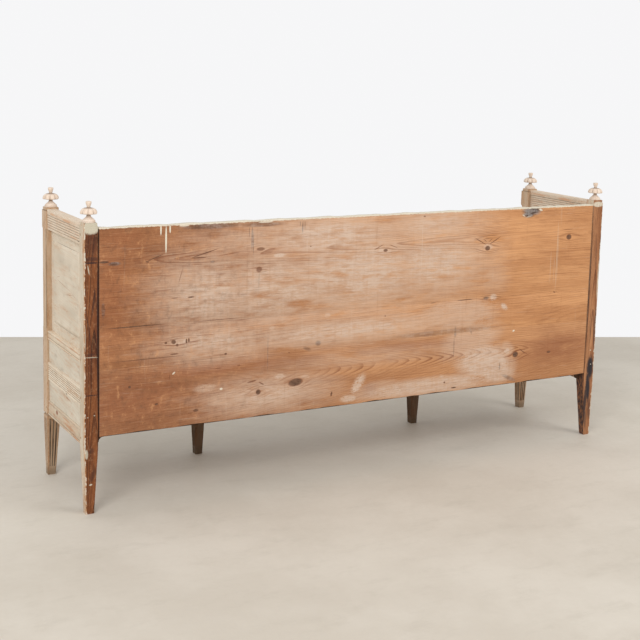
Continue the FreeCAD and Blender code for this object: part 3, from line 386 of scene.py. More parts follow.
def back_history():
    """What a long life left on the bare back: where it is washed, redder, stained or painted.

    Each mark is an oval, as marks_on says. Clouds of noise break up the washes' rims, and finer
    noise those of stains, knots and paint. Where the grain bends, the height is pushed away from
    each round knot.
    """
    story = new_effect("back_history", ("Vector",), (),
                       ("Washed", "Red", "Grey", "Dark", "Paint", "Flame", "Bend", "Near"))
    x, _, z = story.parts(story.given["Vector"])
    flat = story.joined(x, 0.0, z)
    cloud = story.noise(flat, (5.5, 1.0, 21.0), 5.0, 0.65) - 0.5
    chip = story.noise(flat, (110.0, 1.0, 190.0), 4.0, 0.7) - 0.5
    loose = story.joined(x, cloud * 3.7, z)
    broken = story.joined(x, story.maths("MULTIPLY_ADD", chip, 1.6, cloud * 3.4), z)
    tight = story.joined(x, story.maths("MULTIPLY_ADD", chip, 4.6, cloud * 2.2), z)
    sharp = story.joined(x, chip * 2.0, z)
    broad_washes = ((0.05, 0.70, 0.60, 0.27, 0, 1.0), (0.36, 0.66, 0.47, 0.25, 0, 0.95),
                    (-0.26, 0.71, 0.40, 0.22, 0, 0.95), (0.10, 0.50, 0.78, 0.080, 0, 0.95),
                    (0.62, 0.51, 0.24, 0.085, 0, 0.9), (0.38, 0.31, 0.40, 0.11, 0, 0.9),
                    (0.00, 0.40, 0.60, 0.05, 0, 0.45), (-0.50, 0.64, 0.12, 0.10, 0, 0.5),
                    (0.60, 0.66, 0.32, 0.24, 0, 0.95), (0.56, 0.50, 0.36, 0.11, 0, 0.9),
                    (0.35, 0.82, 0.50, 0.10, 0, 0.75), (0.16, 0.82, 0.54, 0.13, 0, 1.0),
                    (-0.24, 0.84, 0.38, 0.12, 0, 0.85))
    edged_washes = ((-0.36, 0.515, 0.235, 0.080, 0, 0.70), (-0.42, 0.42, 0.18, 0.085, -14, 0.65),
                    (-0.49, 0.330, 0.175, 0.100, 14, 1.0), (-0.26, 0.270, 0.44, 0.042, 0, 0.9),
                    (-0.55, 0.285, 0.10, 0.050, 0, 0.9), (-0.05, 0.285, 0.14, 0.035, 0, 0.5),
                    (-0.585, 0.37, 0.045, 0.036, 30, 0.55))
    small_washes = ((0.348, 0.769, 0.042, 0.011, 0, 1.0), (0.541, 0.637, 0.024, 0.012, -15, 0.9),
                    (0.040, 0.308, 0.026, 0.056, 35, 1.0), (0.075, 0.262, 0.048, 0.018, 0, 1.0),
                    (-0.100, 0.50, 0.024, 0.024, 0, 0.7), (-0.513, 0.569, 0.022, 0.018, 0, 1.0),
                    (-0.563, 0.530, 0.025, 0.015, 35, 1.0), (-0.585, 0.365, 0.024, 0.020, 0, 1.0),
                    (0.165, 0.557, 0.020, 0.014, 0, 0.8), (0.370, 0.530, 0.022, 0.013, 0, 0.8),
                    (0.338, 0.366, 0.036, 0.016, 0, 0.9), (0.245, 0.355, 0.030, 0.012, 0, 0.7),
                    (0.540, 0.31, 0.09, 0.040, 0, 0.7), (0.430, 0.285, 0.07, 0.025, 0, 0.8),
                    (0.60, 0.355, 0.06, 0.020, 0, 0.7), (0.379, 0.862, 0.014, 0.016, 0, 0.7),
                    (-0.478, 0.752, 0.036, 0.020, 0, 0.9), (-0.085, 0.766, 0.034, 0.010, 0, 0.8),
                    (0.68, 0.515, 0.070, 0.032, 0, 0.9), (-0.30, 0.262, 0.09, 0.014, 0, 0.7),
                    (0.116, 0.724, 0.018, 0.011, 0, 0.6), (-0.23, 0.77, 0.05, 0.010, 0, 0.5),
                    (-0.31, 0.292, 0.03, 0.014, 30, 0.8), (0.68, 0.882, 0.02, 0.004, 0, 0.8))
    chips = ((0.711, 0.416, 0.007, 0.0030, -40, 0.8), (0.548, 0.3475, 0.006, 0.0045, 0, 0.9),
             (-0.611, 0.437, 0.006, 0.0035, -20, 1.0), (-0.13, 0.268, 0.003, 0.004, 0, 0.5),
             (-0.708, 0.876, 0.010, 0.004, 20, 0.9), (-0.632, 0.858, 0.008, 0.003, 30, 0.6),
             (-0.655, 0.853, 0.014, 0.0020, -8, 0.5), (0.40, 0.8795, 0.03, 0.003, 0, 0.8),
             (0.68, 0.880, 0.02, 0.003, 0, 0.8), (-0.793, 0.70, 0.0018, 0.15, 0, 0.32),
             (-0.798, 0.70, 0.0014, 0.12, 0, 0.22), (-0.766, 0.66, 0.0016, 0.07, 0, 0.25),
             (-0.783, 0.65, 0.0014, 0.06, 0, 0.2), (-0.20, 0.78, 0.0016, 0.10, 0, 0.2))
    washed = story.greatest(marks_on(story, loose, broad_washes, 0.9),
                            marks_on(story, tight, small_washes, 0.6))
    washed = story.greatest(washed, marks_on(story, broken, edged_washes, 0.55))
    redder = ((0.88, 0.34, 0.40, 0.115, 0, 1.0), (0.60, 0.415, 0.50, 0.030, 0, 1.0),
              (-0.82, 0.36, 0.26, 0.10, 0, 1.0), (0.92, 0.68, 0.12, 0.24, 0, 0.8),
              (0.88, 0.84, 0.12, 0.06, 0, 0.8), (-0.01, 0.285, 0.045, 0.035, 20, 1.0),
              (0.62, 0.272, 0.16, 0.012, 0, 0.8), (-0.20, 0.42, 0.40, 0.028, 0, 0.7),
              (0.30, 0.74, 0.60, 0.030, 0, 0.35), (0.35, 0.785, 0.60, 0.020, 0, 0.35))
    greys = ((-0.668, 0.874, 0.056, 0.024, 0, 1.3), (-0.655, 0.862, 0.036, 0.016, 0, 1.3),
             (0.4475, 0.830, 0.0030, 0.055, 0, 0.9), (0.4425, 0.815, 0.0022, 0.055, 0, 0.8),
             (0.4575, 0.850, 0.0020, 0.025, 0, 0.6), (0.266, 0.856, 0.0030, 0.024, 0, 0.9),
             (0.258, 0.862, 0.0020, 0.018, 0, 0.8), (0.275, 0.868, 0.0020, 0.012, 0, 0.6),
             (0.59, 0.875, 0.14, 0.012, 0, 0.75), (0.41, 0.872, 0.10, 0.010, 0, 0.6),
             (0.4206, 0.690, 0.0018, 0.040, 0, 0.5), (0.384, 0.450, 0.0024, 0.080, 0, 0.5),
             (-0.354, 0.455, 0.008, 0.025, 0, 0.7), (0.198, 0.465, 0.014, 0.012, 0, 0.7),
             (0.24, 0.450, 0.020, 0.008, 20, 0.5), (-0.42, 0.455, 0.006, 0.020, -20, 0.5),
             (0.905, 0.774, 0.026, 0.008, 0, 1.0), (-0.481, 0.5675, 0.018, 0.008, 0, 0.9),
             (-0.30, 0.458, 0.28, 0.014, 0, 0.45), (0.583, 0.762, 0.010, 0.005, 0, 0.6),
             (-0.60, 0.262, 0.045, 0.010, 25, 0.6), (0.94, 0.635, 0.008, 0.028, 0, 0.6),
             (-0.555, 0.31, 0.004, 0.020, 0, 0.6), (-0.35, 0.40, 0.004, 0.05, 0, 0.4))
    knots = ((0.280, 0.3406, 0.034, 0.0170, -4, 1.0), (0.416, 0.793, 0.020, 0.0075, 0, 0.6),
             (0.4206, 0.727, 0.014, 0.013, 0, 0.55), (0.856, 0.387, 0.006, 0.006, 0, 0.9),
             (0.7675, 0.3225, 0.008, 0.0045, 0, 0.9), (0.534, 0.4606, 0.006, 0.0045, 0, 0.8),
             (0.416, 0.3225, 0.011, 0.011, 0, 1.0), (0.440, 0.360, 0.022, 0.0035, -8, 0.6),
             (0.405, 0.350, 0.014, 0.0030, 30, 0.6), (0.1425, 0.285, 0.0045, 0.011, 10, 0.8),
             (-0.624, 0.3475, 0.016, 0.014, 0, 1.0), (-0.778, 0.3425, 0.012, 0.0055, 0, 0.8),
             (0.712, 0.516, 0.010, 0.009, 30, 0.85), (0.669, 0.515, 0.004, 0.010, 0, 0.85),
             (0.661, 0.517, 0.004, 0.009, 0, 0.8), (0.738, 0.515, 0.006, 0.005, 0, 0.8),
             (0.700, 0.505, 0.006, 0.006, 0, 0.7), (0.710, 0.477, 0.018, 0.0028, 0, 0.7),
             (-0.053, 0.763, 0.011, 0.0065, 0, 0.8), (-0.845, 0.770, 0.0150, 0.0130, 0, 0.95),
             (-0.478, 0.7475, 0.014, 0.011, 0, 0.9), (0.635, 0.287, 0.012, 0.0060, 0, 0.8),
             (0.938, 0.7806, 0.021, 0.0046, 0, 1.0), (0.905, 0.773, 0.014, 0.0034, 0, 0.8),
             (0.800, 0.774, 0.007, 0.0030, 10, 0.8), (0.655, 0.654, 0.014, 0.0026, 0, 1.0),
             (0.710, 0.655, 0.014, 0.0018, 0, 0.7), (0.888, 0.687, 0.012, 0.0016, 0, 0.7),
             (0.94, 0.619, 0.008, 0.0040, 0, 0.6), (-0.39, 0.5675, 0.042, 0.0020, 0, 0.9),
             (-0.255, 0.567, 0.014, 0.0014, 0, 0.7), (-0.3156, 0.2756, 0.005, 0.004, 0, 0.8),
             (-0.06, 0.536, 0.003, 0.003, 0, 0.7), (-0.356, 0.2525, 0.014, 0.0035, 0, 0.9),
             (0.690, 0.725, 0.0020, 0.030, 16, 0.4), (0.725, 0.405, 0.002, 0.012, 0, 0.5),
             (0.84, 0.5757, 0.12, 0.0022, 0, 1.0), (0.56, 0.5745, 0.12, 0.0014, 0, 0.6),
             (-0.63, 0.5675, 0.09, 0.0012, 0, 0.5), (0.80, 0.470, 0.17, 0.0016, 0, 0.7),
             (-0.206, 0.8725, 0.006, 0.003, 0, 0.6), (0.306, 0.443, 0.006, 0.002, 0, 0.6),
             (0.487, 0.418, 0.008, 0.004, 0, 0.5), (0.560, 0.416, 0.014, 0.002, 0, 0.5),
             (-0.79, 0.567, 0.008, 0.0035, 30, 0.5), (0.235, 0.792, 0.004, 0.0025, 0, 0.6),
             (0.775, 0.785, 0.036, 0.0022, -20, 0.8), (0.610, 0.790, 0.060, 0.0022, -15, 0.8),
             (0.63, 0.777, 0.036, 0.0030, 0, 0.7), (0.86, 0.786, 0.07, 0.0016, 0, 0.5),
             (0.52, 0.784, 0.05, 0.0016, -6, 0.5), (0.70, 0.765, 0.16, 0.0014, 3, 0.5),
             (0.40, 0.745, 0.05, 0.0012, 0, 0.5),
             (-0.509, 0.7735, 0.036, 0.0020, -28, 0.7), (-0.4465, 0.7735, 0.036, 0.0020, 28, 0.7),
             (-0.478, 0.792, 0.058, 0.0016, 0, 0.5), (-0.478, 0.783, 0.020, 0.0018, 0, 0.6),
             (-0.490, 0.776, 0.012, 0.0016, -35, 0.6), (-0.466, 0.776, 0.012, 0.0016, 35, 0.6),
             (-0.026, 0.775, 0.026, 0.0016, -25, 0.6), (-0.085, 0.775, 0.026, 0.0016, 22, 0.5),
             (-0.655, 0.357, 0.022, 0.0022, 35, 0.7), (-0.668, 0.350, 0.026, 0.0016, 30, 0.5),
             (-0.84, 0.798, 0.032, 0.0014, 0, 0.5), (-0.84, 0.789, 0.024, 0.0014, 0, 0.4))
    drips = ((0.7565, 0.871, 0.0030, 0.020, 0, 1.0), (0.7395, 0.840, 0.0034, 0.050, 0, 1.0),
             (0.7265, 0.872, 0.0030, 0.015, 0, 1.0))
    flames = ((-0.35, 0.366, 0.34, 0.036, 0, 1.0), (0.10, 0.360, 0.22, 0.024, 0, 0.8),
              (0.70, 0.783, 0.22, 0.03, 0, 0.9), (-0.25, 0.775, 0.42, 0.05, 0, 0.9),
              (-0.48, 0.782, 0.13, 0.06, 0, 1.0), (0.20, 0.77, 0.40, 0.04, 0, 0.6),
              (-0.85, 0.77, 0.09, 0.08, 0, 0.8), (-0.63, 0.36, 0.09, 0.05, 0, 0.9))
    bent_grain = ((0.28, 0.342, 0.090, 0.040), (0.42, 0.322, 0.070, 0.034),
                  (0.42, 0.792, 0.080, 0.030), (-0.052, 0.764, 0.070, 0.028),
                  (-0.847, 0.770, 0.075, 0.040), (-0.478, 0.752, 0.080, 0.040),
                  (-0.622, 0.347, 0.080, 0.042), (0.69, 0.515, 0.085, 0.030),
                  (-0.50, 0.568, 0.070, 0.022), (0.425, 0.728, 0.050, 0.024))
    bend = None
    round_knots = None
    for knot_x, knot_z, half_width, half_height in bent_grain:
        near = marks_on(story, flat, ((knot_x, knot_z, half_width, half_height, 0, 0.85),), 1.0)
        push = near * (z - knot_z)
        bend = push if bend is None else bend + push
        round_knots = near if round_knots is None else story.greatest(round_knots, near)
    board_top = span("back_top_board", 2)[1]
    paint_line = (z + chip * 0.01).band(board_top - 0.0045, board_top - 0.0015)
    paint = story.greatest(paint_line, marks_on(story, sharp, drips + chips, 0.3))
    return story.shared(Washed=washed, Red=marks_on(story, loose, redder, 0.9),
                        Grey=marks_on(story, sharp, greys, 0.6),
                        Dark=marks_on(story, sharp, knots, 0.5), Paint=paint,
                        Flame=marks_on(story, loose, flames, 0.9), Bend=bend,
                        Near=round_knots)


bare_back_story = back_history()
board_pale_orange = tone(219, 162, 114)
board_orange = tone(196, 140, 96)
board_brown = tone(184, 130, 92)
board_deep_brown = tone(146, 99, 68)
board_red = tone(158, 102, 70)
board_washed = tone(212, 185, 163)
board_chalk = tone(220, 204, 190)
board_line = tone(122, 70, 42)
board_grey = tone(138, 130, 126)
board_soot_and_shade = tone(72, 58, 52)
board_knot = tone(68, 50, 42)
board_knot_pale = tone(112, 86, 70)
board_shade = tone(132, 100, 82)
inner_dull = tone(190, 176, 150)
inner_bare = tone(196, 152, 114)
drip_paint = tone(222, 212, 192)
inner_paint = tone(208, 196, 172)
inside_face = span("back_top_board", 1)[0]
lower_joint = span("back_bottom_board", 2)[1]
board_end = span("right_back_post", 0)[0]


def board_finish(name, heart_height, heart_depth, spacing, lean, start):
    """Bare aged pine, its log's heart at a height, a depth in front and a start along X.

    From orange at the far end to brown at the near one, it takes in turn its red and brown
    blotches, streaks, rings, pale washes, scratches, grime, stains, knots and drips, and a painted
    shade along its ends next to the posts. The grain bends round the knots, and the face towards
    the sitter keeps its paint.
    """
    finish = new_finish(name)
    x, y, z = finish.parts(finish.place)
    story = finish.effect(bare_back_story, {"Vector": finish.place})
    log = finish.joined(x - start, z - heart_height - story["Bend"], y - heart_depth)
    figure = finish.effect(pine_rings, {"Vector": log, "Spacing": spacing, "Lean": lean,
                                        "Waver": 0.045})
    slow = finish.noise(finish.place, (2.2, 3.0, 16.0), 4.0, 0.6).band(0.3, 0.7)
    blotch = finish.noise(finish.place, (16.0, 3.0, 34.0), 6.0, 0.72)
    streak = finish.noise(finish.place, (3.0, 60.0, 190.0), 5.0, 0.7)
    hanging = finish.noise(finish.place, (90.0, 4.0, 5.0), 5.0, 0.65)
    smear = finish.noise(finish.place, (24.0, 4.0, 85.0), 6.0, 0.74) * 0.75 + hanging * 0.25
    scratch = finish.noise(finish.place, (10.0, 4.0, 260.0), 4.0, 0.7)
    grime = finish.noise(finish.place, (42.0, 4.0, 30.0), 6.0, 0.76)
    flaky = finish.noise(finish.place, (90.0, 4.0, 260.0), 4.0, 0.7)
    near_end = x.band(0.15, 0.85)
    contrast = finish.greatest(story["Flame"] * 0.85 + 0.20, story["Near"].band(0.0, 0.30) * 0.8)
    lines = figure["Rings"] * contrast
    colour = finish.layered(
        finish.mix(x.band(-0.35, 0.80), finish.mix(slow, board_orange, board_pale_orange),
                   finish.mix(slow, board_deep_brown, board_brown)),
        (story["Red"], 0.8, board_red),
        (blotch.band(0.48, 0.68), x.band(-0.2, 0.9) * 0.25 + 0.20, board_deep_brown),
        (blotch.band(0.48, 0.28), 0.30, board_pale_orange),
        (z.band(lower_joint + 0.002, lower_joint - 0.004), 0.18, board_shade),
        (streak.band(0.48, 0.72), 0.40, board_line))
    colour = finish.mix(lines, colour, board_line)
    wash = story["Washed"] * (smear.band(0.38, 0.60) * 0.24 + 0.70) * (1.0 - lines * 0.75)
    chalk = story["Washed"].band(0.72, 1.0) * smear.band(0.42, 0.56)
    colour = finish.layered(
        finish.mix(wash, colour, board_washed),
        (chalk, 0.28, board_chalk),
        (hanging.band(0.60, 0.74), 0.10, drip_paint),
        (hanging.band(0.40, 0.26), 0.14, board_line),
        (figure["Fibre"].band(0.35, 0.70), 0.22, board_line),
        (scratch.band(0.55, 0.68), x.band(0.0, 0.9) * 0.40 + 0.22, board_line),
        (scratch.band(0.42, 0.30), 0.22, board_washed),
        (grime.band(0.50, 0.68) * near_end, 0.30, board_soot_and_shade),
        (grime.band(0.46, 0.30) * near_end, 0.40, board_pale_orange),
        (story["Grey"], 0.75, finish.mix(smear.band(0.44, 0.58), board_soot_and_shade, board_grey)),
        # Painted shade: each board's end next to a post is darkened with the soot colour.
        (abs(x).band(board_end - 0.0055, board_end - 0.0025), 0.8, board_soot_and_shade))
    colour = finish.mix(story["Dark"].band(0.0, 0.55) * 0.55, colour, board_line)
    core = finish.maths("MULTIPLY_ADD", flaky - 0.5, 0.9, story["Dark"]).band(0.20, 0.75)
    knot = finish.mix(flaky.band(0.3, 0.6), board_knot, board_knot_pale)
    colour = finish.tint(colour, core * story["Dark"], 0.9, knot)
    colour = finish.mix(story["Paint"], colour, drip_paint)
    inner = finish.layered(finish.mix(slow.band(0.2, 0.9), inner_paint, inner_dull),
                           (streak.band(0.46, 0.72), 0.45, inner_bare),
                           (figure["Rings"], 0.16, board_line))
    inner = finish.mix(blotch.band(0.615, 0.66), inner, inner_bare)
    colour = finish.mix(y.band(inside_face + 0.0035, inside_face + 0.0015), colour, inner)
    height = figure["Fibre"] - figure["Rings"] * 0.6 - story["Dark"] + story["Paint"]
    return lay_on(finish, colour, 0.86 - story["Paint"] * 0.25, height, 0.0005)


def waver(places, wave, seed):
    """Slow random waves between about -1 and 1 along a line, as a sum of five sines."""
    random = np.random.default_rng(seed)
    total = np.zeros_like(places)
    for share in (1.0, 0.62, 0.38, 0.23, 0.12):
        total += np.sin(places * 2 * math.pi / (wave * share) + random.uniform(0, 7)) * share
    return total / 1.6


def skin(name, rows, marks, material, node):
    """A closed piece from rows of points, each row a loop round it, with flat ends.

    The loops are joined by squares and the first and last are filled. If the volume comes out
    negative the faces are turned over. Marks are values at the points for the finish to read,
    and the piece takes the place of the node's solid.
    """
    crease_degrees = 40
    count, around = rows.shape[:2]
    index = np.arange(count * around).reshape(count, around)
    following = np.roll(index, -1, axis=1)
    squares = np.stack([index[:-1], following[:-1], following[1:], index[1:]], axis=-1)
    squares = squares.reshape(-1, 4)
    points = rows.reshape(-1, 3)
    a, b, c, d = (points[squares[:, corner]] for corner in range(4))
    volume = (np.einsum("ij,ij->i", a, np.cross(b, c)) + np.einsum("ij,ij->i", a,
                                                                   np.cross(c, d))).sum()
    ends = [index[0][::-1], index[-1]]
    for end in ends:
        loop = points[end]
        fan = np.cross(loop[1:-1], loop[2:])
        volume += (fan @ loop[0]).sum()
    faces = squares.tolist() + [end.tolist() for end in ends]
    if volume < 0:
        faces = [face[::-1] for face in faces]
    mesh = bpy.data.meshes.new(name)
    mesh.from_pydata(points.tolist(), [], faces)
    mesh.shade_smooth()
    mesh.set_sharp_from_angle(angle=math.radians(crease_degrees))
    for title, values in marks.items():
        layer = mesh.attributes.new(title, "FLOAT", "POINT")
        layer.data.foreach_set("value", np.ascontiguousarray(values, dtype=np.float32).ravel())
    mesh.materials.append(material)
    piece = bpy.data.objects.new(name, mesh)
    bpy.context.scene.collection.objects.link(piece)
    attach(piece, "root")
    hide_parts(node)


def rounded_loop(half_across, half_up, radius, steps):
    """A rounded rectangle about its middle: four quarter circles joined by straight sides."""
    turns = np.linspace(0, math.pi / 2, steps)
    across = []
    up = []
    for corner, (side_across, side_up) in enumerate(((1, 1), (-1, 1), (-1, -1), (1, -1))):
        angle = turns + corner * math.pi / 2
        across.append(side_across * (half_across - radius) + radius * np.cos(angle))
        up.append(side_up * (half_up - radius) + radius * np.sin(angle))
    return np.concatenate(across), np.concatenate(up)


edge_tongue = 0.0084
end_tongue = 0.008
joint_lift = 0.0001


def back_plank(node, material, seed):
    """A board with soft, slightly wavy edges, up to its joints with the next boards and posts.

    Each station along it is a rounded rectangle. Its edges wander by a tenth or so of a
    millimetre at the joints, and by up to two where they are free.
    """
    low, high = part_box(node)
    arris = 0.0007
    x = np.linspace(low.x + end_tongue, high.x - end_tongue, 260)
    across, up = rounded_loop((high.y - low.y) / 2, 0.5, arris, 4)
    top = high.z + joint_lift + waver(x, 0.35, seed) * 0.00015
    bottom = low.z + edge_tongue + joint_lift + 0 * x
    if node == "back_top_board":
        top = high.z + waver(x, 0.16, seed) * 0.0012
    if node == "back_bottom_board":
        bottom = low.z - waver(x, 0.22, seed) * 0.0016
    rows = np.zeros((len(x), len(across), 3))
    rows[..., 0] = x[:, None]
    rows[..., 1] = (low.y + high.y) / 2 + across[None, :]
    from_edge = np.where(up > 0, up - 0.5, up + 0.5)[None, :]
    rows[..., 2] = np.where(up[None, :] > 0, top[:, None], bottom[:, None]) + from_edge
    skin(node + "_plank", rows, {}, material, node)


for word, seed, log in (
        ("top", 11, dict(heart_height=0.781, heart_depth=0.199, spacing=0.0056, lean=0.040,
                         start=0.18)),
        ("middle", 12, dict(heart_height=0.46, heart_depth=0.14, spacing=0.0058, lean=0.02,
                            start=0.4)),
        ("bottom", 13, dict(heart_height=0.367, heart_depth=0.200, spacing=0.0080, lean=-0.175,
                            start=0.06))):
    back_plank("back_" + word + "_board", board_finish(word + "_board_pine", **log), seed)


# The back posts are square pine posts that taper to the floor. Their outer faces keep worn cream
# paint and their backs are bare, dark with age on the near post and orange on the far one.
def paint_wear():
    """Where old paint has gone. The first axis of the place runs along the grain.

    Streaks along the grain and small flecks are summed with the wear that the piece asks for:
    past one level the paint is rubbed thin, and past a higher one the wood is bare.
    """
    paint = new_effect("paint_wear", ("Vector",), ("Wear",), ("Bare", "Thin", "Dirt", "Relief"))
    vector = paint.given["Vector"]
    streaks = paint.noise(vector, (9.0, 55.0, 55.0), 4.0, 0.62)
    flecks = paint.noise(vector, (120.0, 330.0, 330.0), 3.0, 0.6)
    level = streaks * 0.65 + flecks * 0.35 + paint.given["Wear"]
    bare = level.band(0.585, 0.635)
    darkening = paint.noise(vector, (22.0, 34.0, 34.0), 4.0, 0.65)
    return paint.shared(Bare=bare, Thin=level.band(0.45, 0.60), Dirt=darkening.band(0.50, 0.78),
                        Relief=flecks * 0.5 - bare)


old_paint = paint_wear()
# The dirt colour, also used for painted shade in the reeds, flutes and sunk necks.
hollow_dirt_and_shade = tone(112, 92, 74)


def along_grain(finish, along):
    """The place with the grain's axis first."""
    x, y, z = finish.parts(finish.place)
    order = {"x": (x, y, z), "y": (y, x, z), "z": (z, x, y)}[along]
    return finish.joined(*order)


def worn_paint(finish, along, colours, wear):
    """Old paint over pine: its colour, and the chips in it for the roughness and the relief.

    Colours are the pale and the dull paint and the light and the dark wood. Wear is a number
    or a reading.
    """
    heart = (0.3, 0.12, 0.05)
    pale, dull, wood_light, wood_dark = colours
    place = along_grain(finish, along)
    chips = finish.effect(old_paint, {"Vector": place, "Wear": wear})
    rings = finish.effect(pine_rings, {"Vector": finish.vector_maths("ADD", place, heart),
                                       "Spacing": 0.0045, "Lean": 0.05, "Waver": 0.03})
    cloud = finish.noise(place, (7.0, 16.0, 16.0), 4.0, 0.6)
    paint = finish.layered(finish.mix(cloud.band(0.3, 0.7), dull, pale),
                           (rings["Rings"], 0.22, wood_light), (chips["Thin"], 0.55, wood_light))
    wood = finish.layered(wood_light, (rings["Rings"], 0.8, wood_dark),
                          (rings["Fibre"], 0.4, wood_dark))
    colour = finish.mix(chips["Bare"], paint, wood)
    return finish.tint(colour, chips["Dirt"], 0.22, hollow_dirt_and_shade), chips


def spotted(finish, colour, spots, stretch):
    """Spots of other colours on a face that looks along X, with rims broken up by noise.

    Each entry has a colour, its ovals as y and z, and the width of their rims.
    """
    _, y, z = finish.parts(finish.place)
    ragged = (finish.noise(finish.place, stretch, 3.0) - 0.5) * 2.4
    flat = finish.joined(y, ragged, z)
    for other, marks, edge in spots:
        colour = finish.mix(marks_on(finish, flat, marks, edge), colour, other)
    return colour


def lay_paint(finish, colour, chips, relief):
    """Lays on old paint, rougher where it is bare."""
    return lay_on(finish, colour, 0.70 + chips["Bare"] * 0.15, chips["Relief"], relief)


post_inner, post_outer = span("right_back_post", 0)
post_front, post_rear = span("right_back_post", 1)
post_top = span("right_back_post", 2)[1]
plate_height = 0.010
plate_inset = 0.0015
stock_top = post_top - plate_height
leg_top = 0.206
foot_width = 0.026
foot_outer = 0.995
foot_inner = foot_outer - foot_width
leg_taper = round((post_outer - foot_outer) / leg_top, 4)
under_seat_shade_top = 0.400
post_arris = 0.0018
key_step = 0.0005
flute_low = 0.028
flute_high = leg_top - 0.010
flute_depth = 0.0024
flute_spread = 0.5227
flute_half = 0.1705
flute_ends = np.array([0.0, 0.0004, 0.0015, 0.0035, 0.007])


def key(height, faces, inset=0.0):
    """A height of a post, and its inner, outer, front and rear faces drawn in by an inset."""
    inner, outer, front, rear = faces
    return height, inner + inset, outer - inset, front + inset, rear - inset


def plate_keys(faces):
    """The small plate on a post's top, with its worn upper edge."""
    return [key(stock_top, faces, plate_inset), key(post_top - plate_inset, faces, plate_inset),
            key(post_top, faces, 2 * plate_inset)]


def square_post(name, node, side, keys, arris, fluted, material, seed):
    """A square post with softly worn arrises and flutes on the sides named.

    The faces run straight between keys. Round the post, a side's points lie at shares of its
    width. A flute's depth falls off as one less the square of the way to its rim, and as a root
    at its ends.
    """
    station_step = 0.012
    flat_share = 0.86
    flute_places = (-flute_spread, 0.0, flute_spread)
    keys = np.array(keys)
    heights = np.concatenate([keys[:, 0], np.arange(station_step, keys[-1, 0], station_step),
                              flute_low + flute_ends, flute_high - flute_ends])
    heights = np.unique(np.round(heights, 6))
    inner, outer, front, rear = (np.interp(heights, keys[:, 0], keys[:, column])
                                 for column in range(1, 5))
    middle_x, middle_y = (inner + outer) / 2, (front + rear) / 2
    half_x, half_y = (outer - inner) / 2, (rear - front) / 2
    radius = arris * (1 + 0.35 * waver(heights, 0.09, seed))
    away = np.minimum(heights - flute_low, flute_high - heights) / flute_ends[-1]
    lengthways = np.sqrt(np.clip(1 - (1 - np.clip(away, 0, 1)) ** 2, 0, 1))
    turns = np.linspace(0, math.pi / 2, 5)
    columns = []
    for number, facing in enumerate(("outer", "rear", "inner", "front")):
        shares = np.linspace(-flat_share, flat_share, 7)
        if facing in fluted:
            steps = np.linspace(-1, 1, 9)
            shares = np.concatenate([[-flat_share]] + [place + flute_half * steps
                                                       for place in flute_places]
                                    + [[flat_share]])
        angle = number * math.pi / 2
        outwards = (round(math.cos(angle)), round(math.sin(angle)))
        for share in shares:
            off = min(abs(share - place) for place in flute_places) / flute_half
            hollow = max(0.0, 1 - off * off) if facing in fluted else 0.0
            dent = flute_depth * hollow * lengthways * (away > 0)
            reach_x = half_x - dent if outwards[0] else half_x
            reach_y = half_y - dent if outwards[1] else half_y
            columns.append((middle_x + outwards[0] * reach_x - outwards[1] * share * half_x,
                            middle_y + outwards[1] * reach_y + outwards[0] * share * half_y,
                            outwards, 0.0, hollow * lengthways * (away > 0)))
        corner = (outwards[0] - outwards[1], outwards[1] + outwards[0])
        for turn in turns:
            facing_here = (math.cos(angle + turn), math.sin(angle + turn))
            columns.append((middle_x + corner[0] * (half_x - radius) + facing_here[0] * radius,
                            middle_y + corner[1] * (half_y - radius) + facing_here[1] * radius,
                            facing_here, 1.0, 0.0 * heights))
    rows = np.zeros((len(heights), len(columns), 3))
    marks = {title: np.zeros(rows.shape[:2]) for title in ("outer_face", "rear_face", "arris",
                                                           "hollow")}
    for number, (x, y, facing, worn, hollow) in enumerate(columns):
        rows[:, number, 0] = x * side
        rows[:, number, 1] = y
        rows[:, number, 2] = heights
        marks["outer_face"][:, number] = max(0.0, facing[0])
        marks["rear_face"][:, number] = max(0.0, facing[1])
        marks["arris"][:, number] = worn
        marks["hollow"][:, number] = hollow
    skin(name, rows, marks, material, node)


